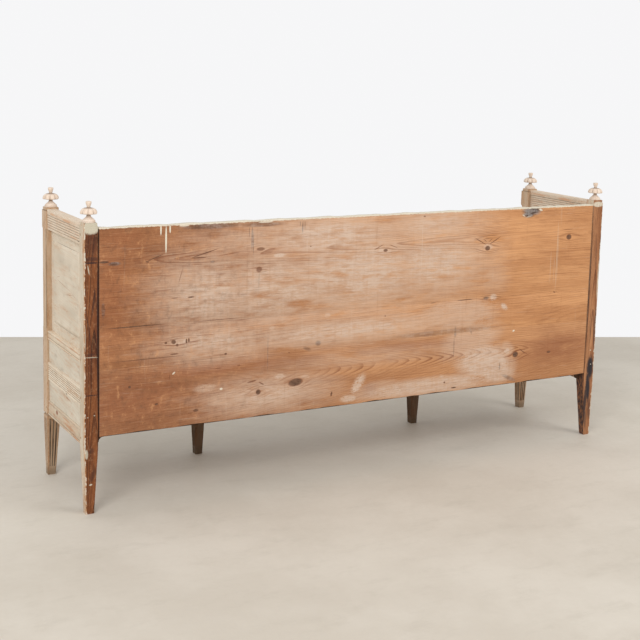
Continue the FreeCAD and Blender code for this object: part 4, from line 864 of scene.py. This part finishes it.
def back_post_finish(name, colours, marks, pale_marks, heart):
    """A back post: bare brown pine behind, and worn paint on the other faces.

    The bare face keeps a ragged strip of paint along its outer edge, which draws in with the
    leg. Below the seat, the inner and front faces never had paint and are painted dark with the
    stain and streak colours, a painted shade. Heart is where the log's heart lies.
    """
    bare, streak, line, paint_pale, paint_dull, wood, top_paint, stain_and_shade = colours
    finish = new_finish(name)
    x, y, z = finish.parts(finish.place)
    near_back = y.band(post_rear - 0.019, post_rear - 0.003)
    wear_level = -0.035
    wear = finish.attribute("arris") * 0.09 + wear_level
    wear = finish.maths("MULTIPLY_ADD", z.band(0.30, 0.05), 0.05, wear)
    wear = finish.maths("MULTIPLY_ADD", near_back, 0.085, wear)
    painted, chips = worn_paint(finish, "z", (paint_pale, paint_dull, wood, bare), wear)
    log = finish.joined(z - heart[2], x - heart[0], y - heart[1])
    figure = finish.effect(pine_rings, {"Vector": log, "Spacing": 0.0042, "Lean": 0.028,
                                        "Waver": 0.035})
    slow = finish.noise(along_grain(finish, "z"), (5.0, 40.0, 40.0), 4.0, 0.6)
    ragged = (finish.noise(finish.place, (160.0, 160.0, 110.0), 3.0) - 0.5) * 2.2
    flat = finish.joined(abs(x), ragged, z)
    mottle = finish.noise(finish.place, (130.0, 130.0, 60.0), 4.0, 0.7)
    wood_colour = finish.layered(finish.mix(slow.band(0.35, 0.65), bare, streak),
                                 (figure["Rings"], 0.85, line), (figure["Fibre"], 0.3, line),
                                 (mottle.band(0.50, 0.70), 0.3, wood))
    wood_colour = finish.mix(marks_on(finish, flat, marks, 0.5), wood_colour, stain_and_shade)
    wood_colour = finish.mix(marks_on(finish, flat, pale_marks, 0.35), wood_colour, top_paint)
    edge = finish.noise(finish.place, (90.0, 90.0, 55.0), 4.0, 0.7)
    tapered = finish.maths("MULTIPLY_ADD", z, leg_taper, foot_outer)
    beyond = abs(x) - finish.maths("MINIMUM", tapered, post_outer)
    strip = finish.maths("MULTIPLY_ADD", edge - 0.5, 0.014, beyond).band(-0.0032, -0.0024)
    strip_tone = finish.mix(edge.band(0.46, 0.60), wood, paint_pale)
    wood_colour = finish.tint(wood_colour, strip, 0.9, strip_tone)
    # Painted shade: below the seat the inner and front faces take the dark stain and streak colours.
    under_seat_shade = (z.band(under_seat_shade_top + 0.005, under_seat_shade_top - 0.005)
                 * finish.attribute("outer_face").band(0.5, 0.3))
    shaded = finish.mix(mottle.band(0.35, 0.75), stain_and_shade, streak)
    colour = finish.mix(under_seat_shade, painted, shaded)
    colour = finish.mix(finish.attribute("rear_face").band(0.30, 0.45), colour, wood_colour)
    height = chips["Relief"] + figure["Rings"] * -0.5
    return lay_on(finish, colour, 0.72 + chips["Bare"] * 0.12, height, 0.0006)


post_faces = (post_inner, post_outer, post_front, post_rear)
back_post_keys = [
    key(0.0, (foot_inner, foot_outer, post_rear - foot_width, post_rear)),
    key(leg_top, post_faces),
    key(stock_top - key_step, post_faces),
    *plate_keys(post_faces)]
near_post_marks = ((0.978, 0.781, 0.030, 0.0032, 2, 1.0), (0.978, 0.792, 0.030, 0.010, 0, 0.6),
                   (0.978, 0.835, 0.030, 0.045, 0, 0.3), (0.958, 0.57, 0.0022, 0.33, 0, 1.0),
                   (0.978, 0.374, 0.030, 0.0022, 0, 0.9), (0.970, 0.66, 0.004, 0.06, 6, 0.5),
                   (0.986, 0.58, 0.004, 0.07, -8, 0.5), (0.975, 0.12, 0.01, 0.03, 20, 0.5),
                   (0.980, 0.50, 0.022, 0.006, 0, 0.4), (0.978, 0.20, 0.012, 0.012, 0, 0.4))
near_post_pale = ((0.978, 0.887, 0.036, 0.024, 0, 1.0), (0.986, 0.760, 0.0022, 0.018, -10, 0.8),
                  (0.978, 0.492, 0.026, 0.0018, 3, 0.6), (0.968, 0.310, 0.003, 0.0018, 0, 0.8),
                  (0.989, 0.306, 0.003, 0.0014, 0, 0.8), (0.980, 0.093, 0.006, 0.0030, -10, 1.0),
                  (0.993, 0.19, 0.006, 0.018, 0, 0.8), (0.997, 0.55, 0.003, 0.05, 0, 0.5))
far_post_marks = ((0.982, 0.262, 0.020, 0.060, 0, 1.0), (0.976, 0.190, 0.012, 0.080, 4, 1.0),
                  (0.966, 0.12, 0.010, 0.14, -3, 0.9), (0.990, 0.10, 0.010, 0.05, 0, 0.5),
                  (0.994, 0.42, 0.006, 0.11, 0, 0.6), (0.998, 0.70, 0.004, 0.12, 0, 0.7),
                  (0.958, 0.57, 0.0020, 0.33, 0, 0.9), (0.975, 0.40, 0.004, 0.05, 0, 0.4),
                  (0.980, 0.70, 0.004, 0.09, 3, 0.4), (0.972, 0.06, 0.006, 0.05, 0, 0.6))
far_post_pale = ((0.978, 0.886, 0.030, 0.012, 0, 0.9), (0.996, 0.60, 0.004, 0.09, 0, 0.6),
                 (0.980, 0.33, 0.004, 0.003, 0, 0.6), (0.985, 0.275, 0.003, 0.003, 0, 0.6))
# Colours: bare wood, its streaks and its lines, pale and dull paint, the wood under the paint,
# the paint at the top, and the stains, which also give the painted shade under the seat.
near_post_colours = (tone(138, 84, 50), tone(108, 62, 38), tone(56, 32, 22), tone(222, 212, 194),
                     tone(200, 186, 164), tone(200, 152, 112), tone(198, 190, 170),
                     tone(58, 40, 38))
far_post_colours = (tone(190, 136, 96), tone(158, 106, 72), tone(98, 60, 42), tone(220, 208, 188),
                    tone(198, 182, 158), tone(196, 138, 92), tone(216, 206, 186),
                    tone(54, 48, 50))
for word, hand, side, seed, colours, marks, pale_marks, heart in (
        ("near", "right", 1, 21, near_post_colours, near_post_marks, near_post_pale,
         (0.965, 0.19, 0.33)),
        ("far", "left", -1, 22, far_post_colours, far_post_marks, far_post_pale,
         (-0.985, 0.20, 0.6))):
    square_post(word + "_back_post", hand + "_back_post", side, back_post_keys, post_arris, (),
                back_post_finish(word + "_post_bare_back", colours, marks, pale_marks, heart),
                seed)


# The front posts and the two middle legs are square pine in the same paint. A front post has a
# head block, a plain shaft and a lower block; all have a sunk neck and a tapered, fluted leg.
head_front, front_rear = span("right_front_post", 1)
block_front = span("right_middle_leg", 1)[0]
shaft_front = head_front + 0.007
shaft_high = 0.829
block_high = 0.501
neck_high = leg_top + 0.007
neck_inset = 0.0025
leg_arris = 0.0016
stile_inner, stile_outer = span("right_middle_leg", 0)
stile_top = span("front_seat_rail", 2)[0]
stile_middle = (stile_inner + stile_outer) / 2
foot_front = block_front + 0.006
middle_foot_front = block_front + 0.012
head_faces = (post_inner, post_outer, head_front, front_rear)
block_faces = (post_inner, post_outer, block_front, front_rear)
shaft_faces = (post_inner, post_outer, shaft_front, front_rear)
stile_faces = (stile_inner, stile_outer, block_front, front_rear)


def front_post_finish(name, wear_level, leg_stain_and_shade, leg_stain_and_shade_colour):
    """Cream paint rubbed to brown wood on the arrises, with dirt and painted shade in the flutes
    and round the neck, dirt at the plate and on the foot, a darker leg that on the middle legs is
    mostly painted shade, and painted shade on the shaft's outer face along its rear edge."""
    colours = (tone(218, 196, 172), tone(196, 170, 142), tone(196, 150, 112), tone(140, 96, 68))
    finish = new_finish(name)
    _, y, z = finish.parts(finish.place)
    hollow = finish.attribute("hollow")
    depth_noise = finish.noise(along_grain(finish, "z"), (14.0, 90.0, 90.0), 4.0, 0.6)
    leg = z.band(leg_top + 0.019, leg_top - 0.011)
    wear = finish.attribute("arris") * 0.07 + wear_level + leg * 0.04
    colour, chips = worn_paint(finish, "z", colours, wear)
    # Dirt and painted shade: the flutes are darkened nearly to black, and the sunk neck below.
    dark = hollow.band(0.05, 0.60) * depth_noise.band(0.15, 0.50)
    grey = hollow.band(0.5, 1.0) * depth_noise.band(0.62, 0.45)
    neck_dirt_and_shade = z.within((leg_top - 0.0015, leg_top + 0.0005), (neck_high + 0.0025, neck_high))
    shaft = z.within((block_high - 0.001, block_high + 0.005),
                     (shaft_high + 0.005, shaft_high - 0.001))
    lip = z.within((stock_top - 0.003, stock_top - 0.0005),
                   (stock_top + 0.003, stock_top + 0.0005))
    # Painted shade on the shaft's outer face along its rear edge, next to the end panel.
    shaft_edge_shade = (y.band(front_rear - 0.013, front_rear - 0.003)
            * finish.attribute("outer_face").band(0.3, 0.7) * depth_noise.band(0.2, 0.6))
    colour = finish.layered(colour,
                            (finish.attribute("rear_face"), 0.35, tone(150, 116, 84)),
                            (leg, leg_stain_and_shade, leg_stain_and_shade_colour),
                            (dark, 0.92, tone(66, 49, 37)),
                            (grey, 0.3, tone(180, 164, 138)),
                            (neck_dirt_and_shade, 0.45, hollow_dirt_and_shade),
                            (z.band(0.045, 0.008), 0.55, tone(92, 82, 66)),
                            (shaft_edge_shade * shaft, 0.75, tone(118, 98, 78)),
                            (lip, 0.6, hollow_dirt_and_shade))
    return lay_paint(finish, colour, chips, 0.0006)


def neck_keys(faces):
    """The sunk neck between a leg and the block above it."""
    return [key(leg_top - key_step, faces), key(leg_top + key_step, faces, neck_inset),
            key(neck_high - key_step, faces, neck_inset), key(neck_high + key_step, faces)]


front_post_keys = [
    key(0.0, (foot_inner, foot_outer, foot_front, foot_front + foot_width)),
    *neck_keys(block_faces),
    key(block_high, block_faces),
    key(block_high + 0.004, shaft_faces),
    key(shaft_high, shaft_faces),
    key(shaft_high + 0.001, (post_inner, post_outer, shaft_front - 0.001, front_rear)),
    key(shaft_high + 0.006, head_faces),
    key(stock_top - key_step, head_faces),
    *plate_keys(block_faces)]
middle_leg_keys = [
    key(0.0, (stile_middle - foot_width / 2, stile_middle + foot_width / 2, middle_foot_front,
              middle_foot_front + foot_width)),
    *neck_keys(stile_faces),
    key(stile_top, stile_faces)]
# The leg below the neck is darkened: lightly on the front posts, and on the middle legs, which stand
# under the seat, mostly as painted shade.
front_post_paint = front_post_finish("front_post_paint", -0.005, 0.10, tone(112, 82, 56))
middle_leg_paint = front_post_finish("middle_leg_paint", 0.03, 0.84, tone(82, 56, 36))
for side, word in ((1, "right"), (-1, "left")):
    square_post(word + "_front_post_stock", word + "_front_post", side, front_post_keys,
                post_arris, ("outer", "rear", "inner", "front"), front_post_paint,
                31 + side)
    square_post(word + "_middle_leg_stock", word + "_middle_leg", side, middle_leg_keys,
                leg_arris, ("outer", "inner", "front"), middle_leg_paint, 41 + side)


# The rails are pine planed with a hollow-and-round cutter: fine reeds under a large bead on the
# top and seat rails, and a bead along each edge of the plain ones. The crests are rubbed bare.
reed_dip = 0.002
bead_rise = 0.0015
edge_bead = 0.008
foot_strip = 0.007
quirk_dip = 0.0008
flat_crest = 0.88
let_in = 0.002


def crest_arc(low, high, valley, crest, steps):
    """A half ellipse between two heights: its heights, its rises, and how near the crest it is."""
    share = np.linspace(-1, 1, steps)
    lift = np.sqrt(1 - share * share)
    return np.stack([(low + high) / 2 + share * (high - low) / 2,
                     valley + (crest - valley) * lift, lift], axis=1)


def reeded_side(low, high, count, bead):
    """A flat strip, a row of reeds and a large bead, from the bottom of a rail to its top."""
    parts = [np.array([(low, 0.0, flat_crest), (low + foot_strip - 0.0004, 0.0, flat_crest)])]
    edges = np.linspace(low + foot_strip, high - bead, count + 1)
    for start, stop in zip(edges[:-1], edges[1:]):
        parts.append(crest_arc(start, stop, -reed_dip, 0.0, 9))
    parts.append(crest_arc(high - bead, high, -reed_dip / 2, bead_rise, 13))
    return np.concatenate(parts)


def beaded_side(low, high):
    """A flat with a bead along each edge and a fine quirk between them."""
    flat = np.array([(low + edge_bead + 0.001, 0.0, flat_crest),
                     (high - edge_bead - 0.001, 0.0, flat_crest)])
    return np.concatenate([crest_arc(low, low + edge_bead, -quirk_dip, bead_rise, 9), flat,
                           crest_arc(high - edge_bead, high, -quirk_dip, bead_rise, 9)])


def plain_side(low, high):
    """A flat face."""
    return np.array([(low, 0.0, flat_crest), (high, 0.0, flat_crest)])


def moulded_rail(name, node, show, back, faces, start, stop, axis, side, material, seed):
    """A rail drawn from the profiles of its show side and its back.

    The profiles' rises are added to the two faces. Along the rail the crests are rubbed down by
    up to half a millimetre in slow waves, each height of the profile by its own. A rail's length
    lies along X or Y (axis 0 or 1).
    """
    station_step = 0.006
    outline = np.concatenate([show, back[::-1]])
    faces_here = np.concatenate([np.full(len(show), faces[0]), np.full(len(back), faces[1])])
    away = math.copysign(1.0, faces[0] - faces[1]) * np.concatenate(
        [np.ones(len(show)), -np.ones(len(back))])
    stations = np.arange(start, stop, station_step)
    stations = np.append(stations, stop)
    rubbed = 0.00022 * (1 + waver(stations[:, None] + outline[None, :, 0] * 9.0, 0.13, seed))
    rows = np.zeros((len(stations), len(outline), 3))
    other = 1 if axis == 0 else 0
    rows[..., axis] = stations[:, None]
    rows[..., other] = faces_here + away * (outline[:, 1] - rubbed * outline[:, 2])
    rows[..., 2] = outline[:, 0]
    if side < 0:
        rows[..., 0] = -rows[..., 0]
    edges = (outline[:, 0] == outline[:, 0].min()) | (outline[:, 0] == outline[:, 0].max())
    crest = np.where(edges, flat_crest, outline[:, 2])
    marks = {"crest": np.broadcast_to(crest, rows.shape[:2])}
    skin(name, rows, marks, material, node)


def rail_finish(name, along, colours, level, crest_wear, spots=(), valley_top=0.66,
                valley_dirt_and_shade=0.78):
    """A rail's paint, worn on the crests, and darkened in the valleys up to a share of the crest:
    dirt and painted shade.
    """
    finish = new_finish(name)
    crest = finish.attribute("crest")
    wear = crest.band(0.86, 0.99) * crest_wear + level
    colour, chips = worn_paint(finish, along, colours, wear)
    # Dirt and painted shade: the valleys between the reeds and beads are darkened.
    valley = crest.band(valley_top, 0.2)
    colour = finish.tint(colour, valley, valley_dirt_and_shade, hollow_dirt_and_shade)
    if spots:
        colour = spotted(finish, colour, spots, (90.0, 90.0, 130.0))
    return lay_paint(finish, colour, chips, 0.0005)


salmon_wood = tone(216, 172, 138)
knot_red = tone(142, 84, 62)
top_rail_paint = rail_finish(
    "top_rail_paint", "y",
    (tone(232, 216, 196), tone(218, 200, 178), salmon_wood, tone(178, 132, 102)),
    level=-0.060, crest_wear=0.08, spots=(
        (salmon_wood, ((0.035, 0.884, 0.050, 0.006, 0, 0.9), (-0.11, 0.886, 0.035, 0.005, 0, 0.7),
                       (0.10, 0.842, 0.05, 0.004, 0, 0.6)), 0.5),
        (tone(120, 108, 98), ((0.150, 0.838, 0.016, 0.0025, 0, 0.6),
                              (0.07, 0.862, 0.03, 0.0012, 0, 0.6)), 0.5)))
middle_rail_paint = rail_finish(
    "middle_rail_paint", "y",
    (tone(230, 216, 194), tone(216, 200, 178), salmon_wood, tone(178, 132, 102)),
    level=-0.03, crest_wear=0.08, spots=(
        (salmon_wood, ((0.10, 0.490, 0.06, 0.004, 0, 0.8), (-0.05, 0.489, 0.05, 0.004, 0, 0.6)),
         0.5),))
seat_rail_paint = rail_finish(
    "seat_rail_paint", "y",
    (tone(240, 227, 207), tone(228, 214, 193), tone(220, 182, 148), tone(176, 132, 100)),
    level=-0.075, crest_wear=0.07, valley_top=0.86, valley_dirt_and_shade=0.95, spots=(
        (tone(96, 78, 66), ((0.025, 0.332, 0.006, 0.003, 0, 1.0),
                            (-0.012, 0.331, 0.004, 0.002, 0, 0.8)), 0.5),))
bottom_rail_paint = rail_finish(
    "bottom_rail_paint", "y",
    (tone(216, 202, 180), tone(200, 184, 162), tone(204, 160, 128), tone(162, 116, 90)),
    level=-0.005, crest_wear=0.06, spots=(
        (knot_red, ((-0.078, 0.243, 0.012, 0.010, 0, 0.9), (-0.110, 0.252, 0.006, 0.005, 0, 0.6)),
         0.5),
        (tone(196, 142, 104), ((0.06, 0.230, 0.07, 0.006, 0, 0.7),
                               (0.02, 0.246, 0.05, 0.004, 0, 0.6),
                               (0.12, 0.214, 0.035, 0.004, 0, 0.7)), 0.5)))
front_rail_paint = rail_finish(
    "front_rail_paint", "x",
    (tone(214, 200, 174), tone(198, 182, 156), salmon_wood, tone(166, 120, 88)),
    level=-0.01, crest_wear=0.08)
end_inner, end_outer = span("right_end_middle_rail", 0)
end_reach = post_front + let_in
top_low, top_high = span("right_end_top_rail", 2)
middle_low, middle_high = span("right_end_middle_rail", 2)
seat_low, seat_high = span("right_end_seat_rail", 2)
bottom_low, bottom_high = span("right_end_bottom_rail", 2)
top_bead = 0.019
seat_bead = 0.011
top_side = reeded_side(top_low, top_high, 5, top_bead)
seat_side = reeded_side(seat_low, seat_high, 6, seat_bead)
seat_back = plain_side(seat_low, seat_high)
middle_side = beaded_side(middle_low, middle_high)
bottom_side = beaded_side(bottom_low, bottom_high)
bottom_back = plain_side(bottom_low, bottom_high)
for side, word in ((1, "right"), (-1, "left")):
    for number, (kind, show, back, paint) in enumerate((
            ("top", top_side, top_side, top_rail_paint),
            ("middle", middle_side, middle_side, middle_rail_paint),
            ("seat", seat_side, seat_back, seat_rail_paint),
            ("bottom", bottom_side, bottom_back, bottom_rail_paint))):
        moulded_rail(word + "_" + kind + "_rail_moulding", word + "_end_" + kind + "_rail",
                     show, back, (end_outer, end_inner), -end_reach, end_reach, 1, side, paint,
                     50 + number + side)
front_faces = span("front_bottom_rail_centre", 1)
front_reach = post_inner + let_in
bay_inner = stile_inner + let_in
bay_outer = stile_outer - let_in
moulded_rail("front_seat_rail_moulding", "front_seat_rail", seat_side, seat_back, front_faces,
             -front_reach, front_reach, 0, 1, front_rail_paint, 60)
for word, start, stop in (("centre", -bay_inner, bay_inner), ("right", bay_outer, front_reach),
                          ("left", -front_reach, -bay_outer)):
    moulded_rail("front_bottom_rail_moulding_" + word, "front_bottom_rail_" + word, bottom_side,
                 bottom_back, front_faces, start, stop, 0, 1, front_rail_paint, 61)


# The end panels are thin pine boards set in grooves. The tall one has a raised field with a
# bevelled border, the low ones lie nearly level with the rails, and so do those of the front.
field_bevel = 0.009
field_rise = 0.005
rim = 0.002
rim_dip = 0.0012


def panel_places(ends, field_ends):
    """Even steps over a panel, with finer ones at its rim and at its field's bevel."""
    ends = np.array(ends)
    places = np.unique(np.round(np.concatenate([
        np.linspace(ends[0], ends[1], 60), ends + [0.0008, -0.0008], ends + [rim, -rim]]), 6))
    if field_ends:
        lines = np.array([0.0, 0.0004, field_bevel - 0.0004, field_bevel, field_bevel + 0.001])
        places = np.unique(np.concatenate([places, field_ends[0] + lines,
                                           field_ends[1] - lines]))
    return places


def way_in(wide, tall, across, up):
    """How far a place lies inside the nearest of four sides."""
    return np.minimum(np.minimum(wide - across[0], across[1] - wide),
                      np.minimum(tall - up[0], up[1] - tall))


def panel_board(name, node, faces, across, up, axis, side, field, material, seed):
    """A panel whose show face rises over a field and is a little uneven from hand planing.

    The faces are the back and the show face, out from the bench's middle. The rise is the way in
    from the field's nearest side over the bevel's width, held between 0 and 1, times the field's
    height. A panel's width lies along X or Y (axis 0 or 1).
    """
    back, face = faces
    across_places = panel_places(across, field and field[0])
    heights = panel_places(up, field and field[1])
    wide, tall = np.meshgrid(across_places, heights)
    surface = face + 0.00025 * waver(tall * 0.8 + wide * 0.1, 0.11, seed)
    if field:
        rise = np.clip(way_in(wide, tall, *field) / field_bevel, 0, 1)
        surface = surface + field_rise * rise
    surface = surface - rim_dip * np.clip(1 - way_in(wide, tall, across, up) / rim, 0, 1) ** 2
    count = len(across_places)
    rows = np.zeros((len(heights), count + 2, 3))
    other = 1 - axis
    rows[:, :count, axis] = wide
    rows[:, :count, other] = surface if axis == 1 else -surface
    rows[:, count, axis] = across[1]
    rows[:, count + 1, axis] = across[0]
    rows[:, count:, other] = back if axis == 1 else -back
    rows[..., 2] = heights[:, None]
    if side < 0:
        rows[..., 0] = -rows[..., 0]
    skin(name, rows, {}, material, node)


def panel_finish(name, along, colours, level, spots=()):
    """A panel's thin old paint, brushed through to the wood in fine lines along the grain."""
    finish = new_finish(name)
    colour, chips = worn_paint(finish, along, colours, level)
    brushed = finish.noise(along_grain(finish, along), (4.0, 130.0, 150.0), 4.0, 0.65)
    wood_light = colours[2]
    colour = finish.tint(colour, brushed.band(0.5, 0.8), 0.35, wood_light)
    if spots:
        colour = spotted(finish, colour, spots, (70.0, 70.0, 110.0))
    return lay_paint(finish, colour, chips, 0.0005)


field_margin = 0.036
upper_low = middle_high - let_in
upper_high = top_low + let_in
field_reach = end_reach - field_margin
field_low = upper_low + field_margin
field_high = upper_high - field_margin
field_middle = (field_low + field_high) / 2
field_half = (field_high - field_low) / 2
field_bevel_shade = tone(158, 148, 134)
# The field's bevels are drawn as thin grey lines round the field: painted shade.
raised_panel_paint = panel_finish(
    "raised_panel_paint", "y",
    (tone(228, 217, 199), tone(215, 203, 184), tone(212, 180, 150), tone(178, 138, 110)), -0.045,
    ((field_bevel_shade, ((0.0, field_low, field_reach, 0.0013, 0, 0.8),
                   (0.0, field_high, field_reach, 0.0013, 0, 0.8),
                   (field_reach, field_middle, 0.0030, field_half, 0, 0.9),
                   (-field_reach, field_middle, 0.0030, field_half, 0, 0.9)), 0.4),
     (tone(178, 140, 112), ((-0.03, 0.672, 0.10, 0.0016, -6, 0.8),
                            (0.03, 0.650, 0.06, 0.0014, 8, 0.7),
                            (0.08, 0.655, 0.03, 0.0018, -12, 0.6),
                            (-0.08, 0.690, 0.03, 0.0014, 14, 0.6)), 0.7),
     (tone(196, 184, 166), ((0.06, 0.60, 0.08, 0.03, 10, 0.5), (-0.05, 0.75, 0.07, 0.03, 0, 0.5)),
      0.9)))
low_panel_paint = panel_finish(
    "low_panel_paint", "y",
    (tone(226, 218, 202), tone(212, 203, 186), tone(208, 174, 144), tone(172, 132, 106)), -0.04)
front_panel_paint = panel_finish(
    "front_panel_paint", "x",
    (tone(214, 204, 184), tone(200, 188, 168), tone(204, 168, 136), tone(170, 128, 100)), -0.03)
panel_back, field_face = span("right_end_upper_panel", 0)
raised_faces = (panel_back, field_face - field_rise)
flush_faces = span("right_end_lower_panel", 0)
front_panel_face, front_panel_back = (-y for y in span("front_panel_centre", 1))
gap = 0.0003
opening = (gap - post_front, post_front - gap)
narrow_heights = (seat_high + gap, middle_low - gap)
lower_heights = (bottom_high + gap, seat_low - gap)
for side, word in ((1, "right"), (-1, "left")):
    panel_board(word + "_raised_panel", word + "_end_upper_panel", raised_faces,
                (-end_reach, end_reach), (upper_low, upper_high), 1, side,
                ((-field_reach, field_reach), (field_low, field_high)), raised_panel_paint,
                70 + side)
    panel_board(word + "_narrow_panel_board", word + "_end_narrow_panel", flush_faces, opening,
                narrow_heights, 1, side, None, low_panel_paint, 73 + side)
    panel_board(word + "_lower_panel_board", word + "_end_lower_panel", flush_faces, opening,
                lower_heights, 1, side, None, low_panel_paint, 76 + side)
bay_start = stile_outer + gap
bay_stop = post_inner - gap
for word, across in (("centre", (gap - stile_inner, stile_inner - gap)),
                     ("right", (bay_start, bay_stop)), ("left", (-bay_stop, -bay_start))):
    panel_board("front_panel_board_" + word, "front_panel_" + word,
                (front_panel_back, front_panel_face), across, lower_heights, 0, 1, None,
                front_panel_paint, 80)


# The finials are turned pine, newer and paler than the rest: a bell on a round foot, a lobed cap
# like an umbrella, a thin neck and a flared knob. Their necks, the cap's underside and the
# hollows between its lobes are darkened: some dirt, and painted shade.
finial_foot = 0.0205
finial_stem = 0.0064
finial_neck = 0.0055
cap_reach = 0.0265
cap_underside = 0.0245
cap_widest = 0.0278
cap_top = 0.0435
knob_top = 0.063


def finial_radii():
    """The heights, radii and depth of lobing up a finial.

    The bell is half a cosine wave from the foot down to the stem, the cap a quarter of an
    ellipse over a short turned-under rim, and the knob a quarter wave out from the neck.
    """
    share = np.linspace(0, 1, 15)
    bell = finial_stem + (finial_foot - 0.0006 - finial_stem) * (
        0.5 + 0.5 * np.cos(math.pi * share)) ** 0.9
    turn = np.linspace(0, math.pi / 2, 15)
    crown = 0.0070 + (cap_reach - 0.0070) * np.cos(turn) ** 0.85
    flare = finial_neck + (0.0089 - finial_neck) * np.sin(share * math.pi / 2) ** 1.6
    parts = [np.array([(0.0, finial_foot - 0.0006, 0), (0.0005, finial_foot, 0),
                       (0.0026, finial_foot, 0), (0.0031, finial_foot - 0.0004, 0)]),
             np.stack([0.0032 + 0.0168 * share, bell, 0 * share], axis=1),
             np.array([(0.0225, 0.0062, 0), (cap_underside, 0.0066, 0),
                       (cap_underside + 0.0002, 0.012, 0.3), (cap_underside + 0.0004, 0.020, 0.8),
                       (cap_underside + 0.0009, 0.0246, 1), (cap_underside + 0.0019, 0.0262, 1)]),
             np.stack([cap_widest + (cap_top - cap_widest) * np.sin(turn), crown,
                       np.cos(turn) ** 0.5], axis=1),
             np.array([(cap_top + 0.0003, 0.0058, 0), (cap_top + 0.0015, finial_neck, 0)]),
             np.stack([0.0465 + 0.0145 * share, flare, 0 * share], axis=1),
             np.array([(0.0620, 0.0086, 0), (0.0627, 0.0079, 0), (knob_top, 0.0070, 0)])]
    return np.concatenate(parts)


def finial_finish():
    """Pale bare wood, slightly pink, grey-brown where the hollow mark is high: some dirt, and
    painted shade under the cap and between its lobes.
    """
    finish = new_finish("finial_wood")
    place = along_grain(finish, "z")
    rings = finish.effect(pine_rings, {"Vector": finish.vector_maths("ADD", place, (0.0, 0.03, 0.02)),
                                       "Spacing": 0.003, "Lean": 0.1, "Waver": 0.01})
    cloud = finish.noise(finish.place, (60.0, 60.0, 60.0), 4.0, 0.6)
    colour = finish.mix(cloud.band(0.35, 0.7), tone(228, 206, 186), tone(240, 224, 208))
    colour = finish.tint(colour, rings["Rings"], 0.25, tone(198, 158, 128))
    darkening = finish.attribute("hollow")
    colour = finish.tint(colour, darkening, 0.8, tone(128, 104, 88))
    roughness = 0.6 + darkening * 0.2
    return lay_on(finish, colour, roughness, rings["Fibre"], 0.0003)


def finial_turned(name, node, x, y, material):
    """A finial on a post's plate. The cap's radius is drawn in between its eight lobes."""
    profile = finial_radii()
    angles = np.linspace(0, 2 * math.pi, 128, endpoint=False)
    drawn_in = 1 - np.abs(np.cos(angles * 4)) ** 0.7
    radii = profile[:, 1, None] * (1 - 0.15 * profile[:, 2, None] * drawn_in[None, :])
    rows = np.zeros((len(profile), len(angles), 3))
    rows[..., 0] = x + radii * np.cos(angles)
    rows[..., 1] = y + radii * np.sin(angles)
    rows[..., 2] = post_top + profile[:, 0, None]
    heights = profile[:, 0]
    # Painted shade with some dirt: darkest under the cap, at the necks and between the lobes.
    darkening = np.interp(heights, [0, 0.0006, 0.0028, 0.0034, 0.006, 0.018, 0.0225, cap_underside,
                               0.0262, 0.030, 0.0415, cap_top, 0.0455, 0.048, 0.0600, knob_top],
                     [0.9, 0.2, 0.0, 0.6, 0.0, 0.1, 0.8, 1.0, 0.1, 0, 0, 0.9, 0.9, 0.1, 0, 0.1])
    darkening = darkening[:, None] + profile[:, 2, None] * drawn_in[None, :] ** 2 * 0.55
    skin(name, rows, {"hollow": np.clip(darkening, 0, 1)}, material, node)


finial_wood = finial_finish()
finial_x = (post_inner + post_outer) / 2
finial_y = (post_front + post_rear) / 2
for word, y in (("front", -finial_y), ("back", finial_y)):
    for side_word, side in (("right", 1), ("left", -1)):
        finial_turned(side_word + "_" + word + "_finial_turning", word + "_finials",
                      side * finial_x, y, finial_wood)


# The seat is three pine boards on ledgers and bearers, with two rails behind the back. They are
# the solids of the frame in bare brown pine, the bearers and ledgers a little darker than the
# seat, and the two rails behind the back much darker, a painted shade under the seat.
def plain_pine(name, along, light, dark, line, heart=(0.2, 0.02, 0.09)):
    """Bare sawn pine with its grain along one axis, and its log's heart this far away."""
    finish = new_finish(name)
    place = along_grain(finish, along)
    log = finish.vector_maths("ADD", place, heart)
    figure = finish.effect(pine_rings, {"Vector": log, "Spacing": 0.005, "Lean": 0.03,
                                        "Waver": 0.035})
    slow = finish.noise(place, (3.0, 20.0, 20.0), 4.0, 0.6)
    colour = finish.mix(slow.band(0.3, 0.7), dark, light)
    colour = finish.tint(colour, figure["Rings"], 0.38, line)
    colour = finish.tint(colour, figure["Fibre"], 0.25, line)
    return lay_on(finish, colour, 0.75 + figure["Fibre"] * 0.15, figure["Fibre"], 0.0005)


def refinished(node, material):
    """Gives a solid of the frame this finish."""
    mesh = timbers[node].data
    mesh.materials.clear()
    mesh.materials.append(material)


shaded_rail_wood = plain_pine("shaded_rail_pine", "x", tone(92, 68, 50), tone(70, 50, 38),
                        tone(46, 34, 28))
bearer_wood = plain_pine("bearer_pine", "y", tone(176, 132, 96), tone(150, 106, 76),
                         tone(110, 74, 52))
for word, heart in (("front", (0.5, 0.150, -0.385)), ("middle", (-0.2, 0.010, -0.370)),
                    ("back", (0.9, -0.120, -0.350))):
    refinished("seat_" + word + "_board", plain_pine(
        "seat_" + word + "_pine", "x", tone(200, 158, 118), tone(178, 134, 97),
        tone(132, 90, 62), heart))
# The two rails are painted nearly black-brown: painted shade under the seat.
for node in ("back_seat_rail", "back_bottom_rail"):
    refinished(node, shaded_rail_wood)
for node in ("seat_bearer_1", "seat_bearer_2", "seat_bearer_3", "right_end_ledger",
             "left_end_ledger"):
    refinished(node, bearer_wood)


# Riven pegs draw the tenons tight. They stand a little proud and took the paint with the posts.
peg_paint = plain_pine("peg_end_grain", "z", tone(204, 180, 150), tone(176, 146, 116),
                       tone(120, 92, 70))
for node in ("right_end_pegs", "left_end_pegs", "right_front_pegs", "left_front_pegs"):
    refinished(node, peg_paint)
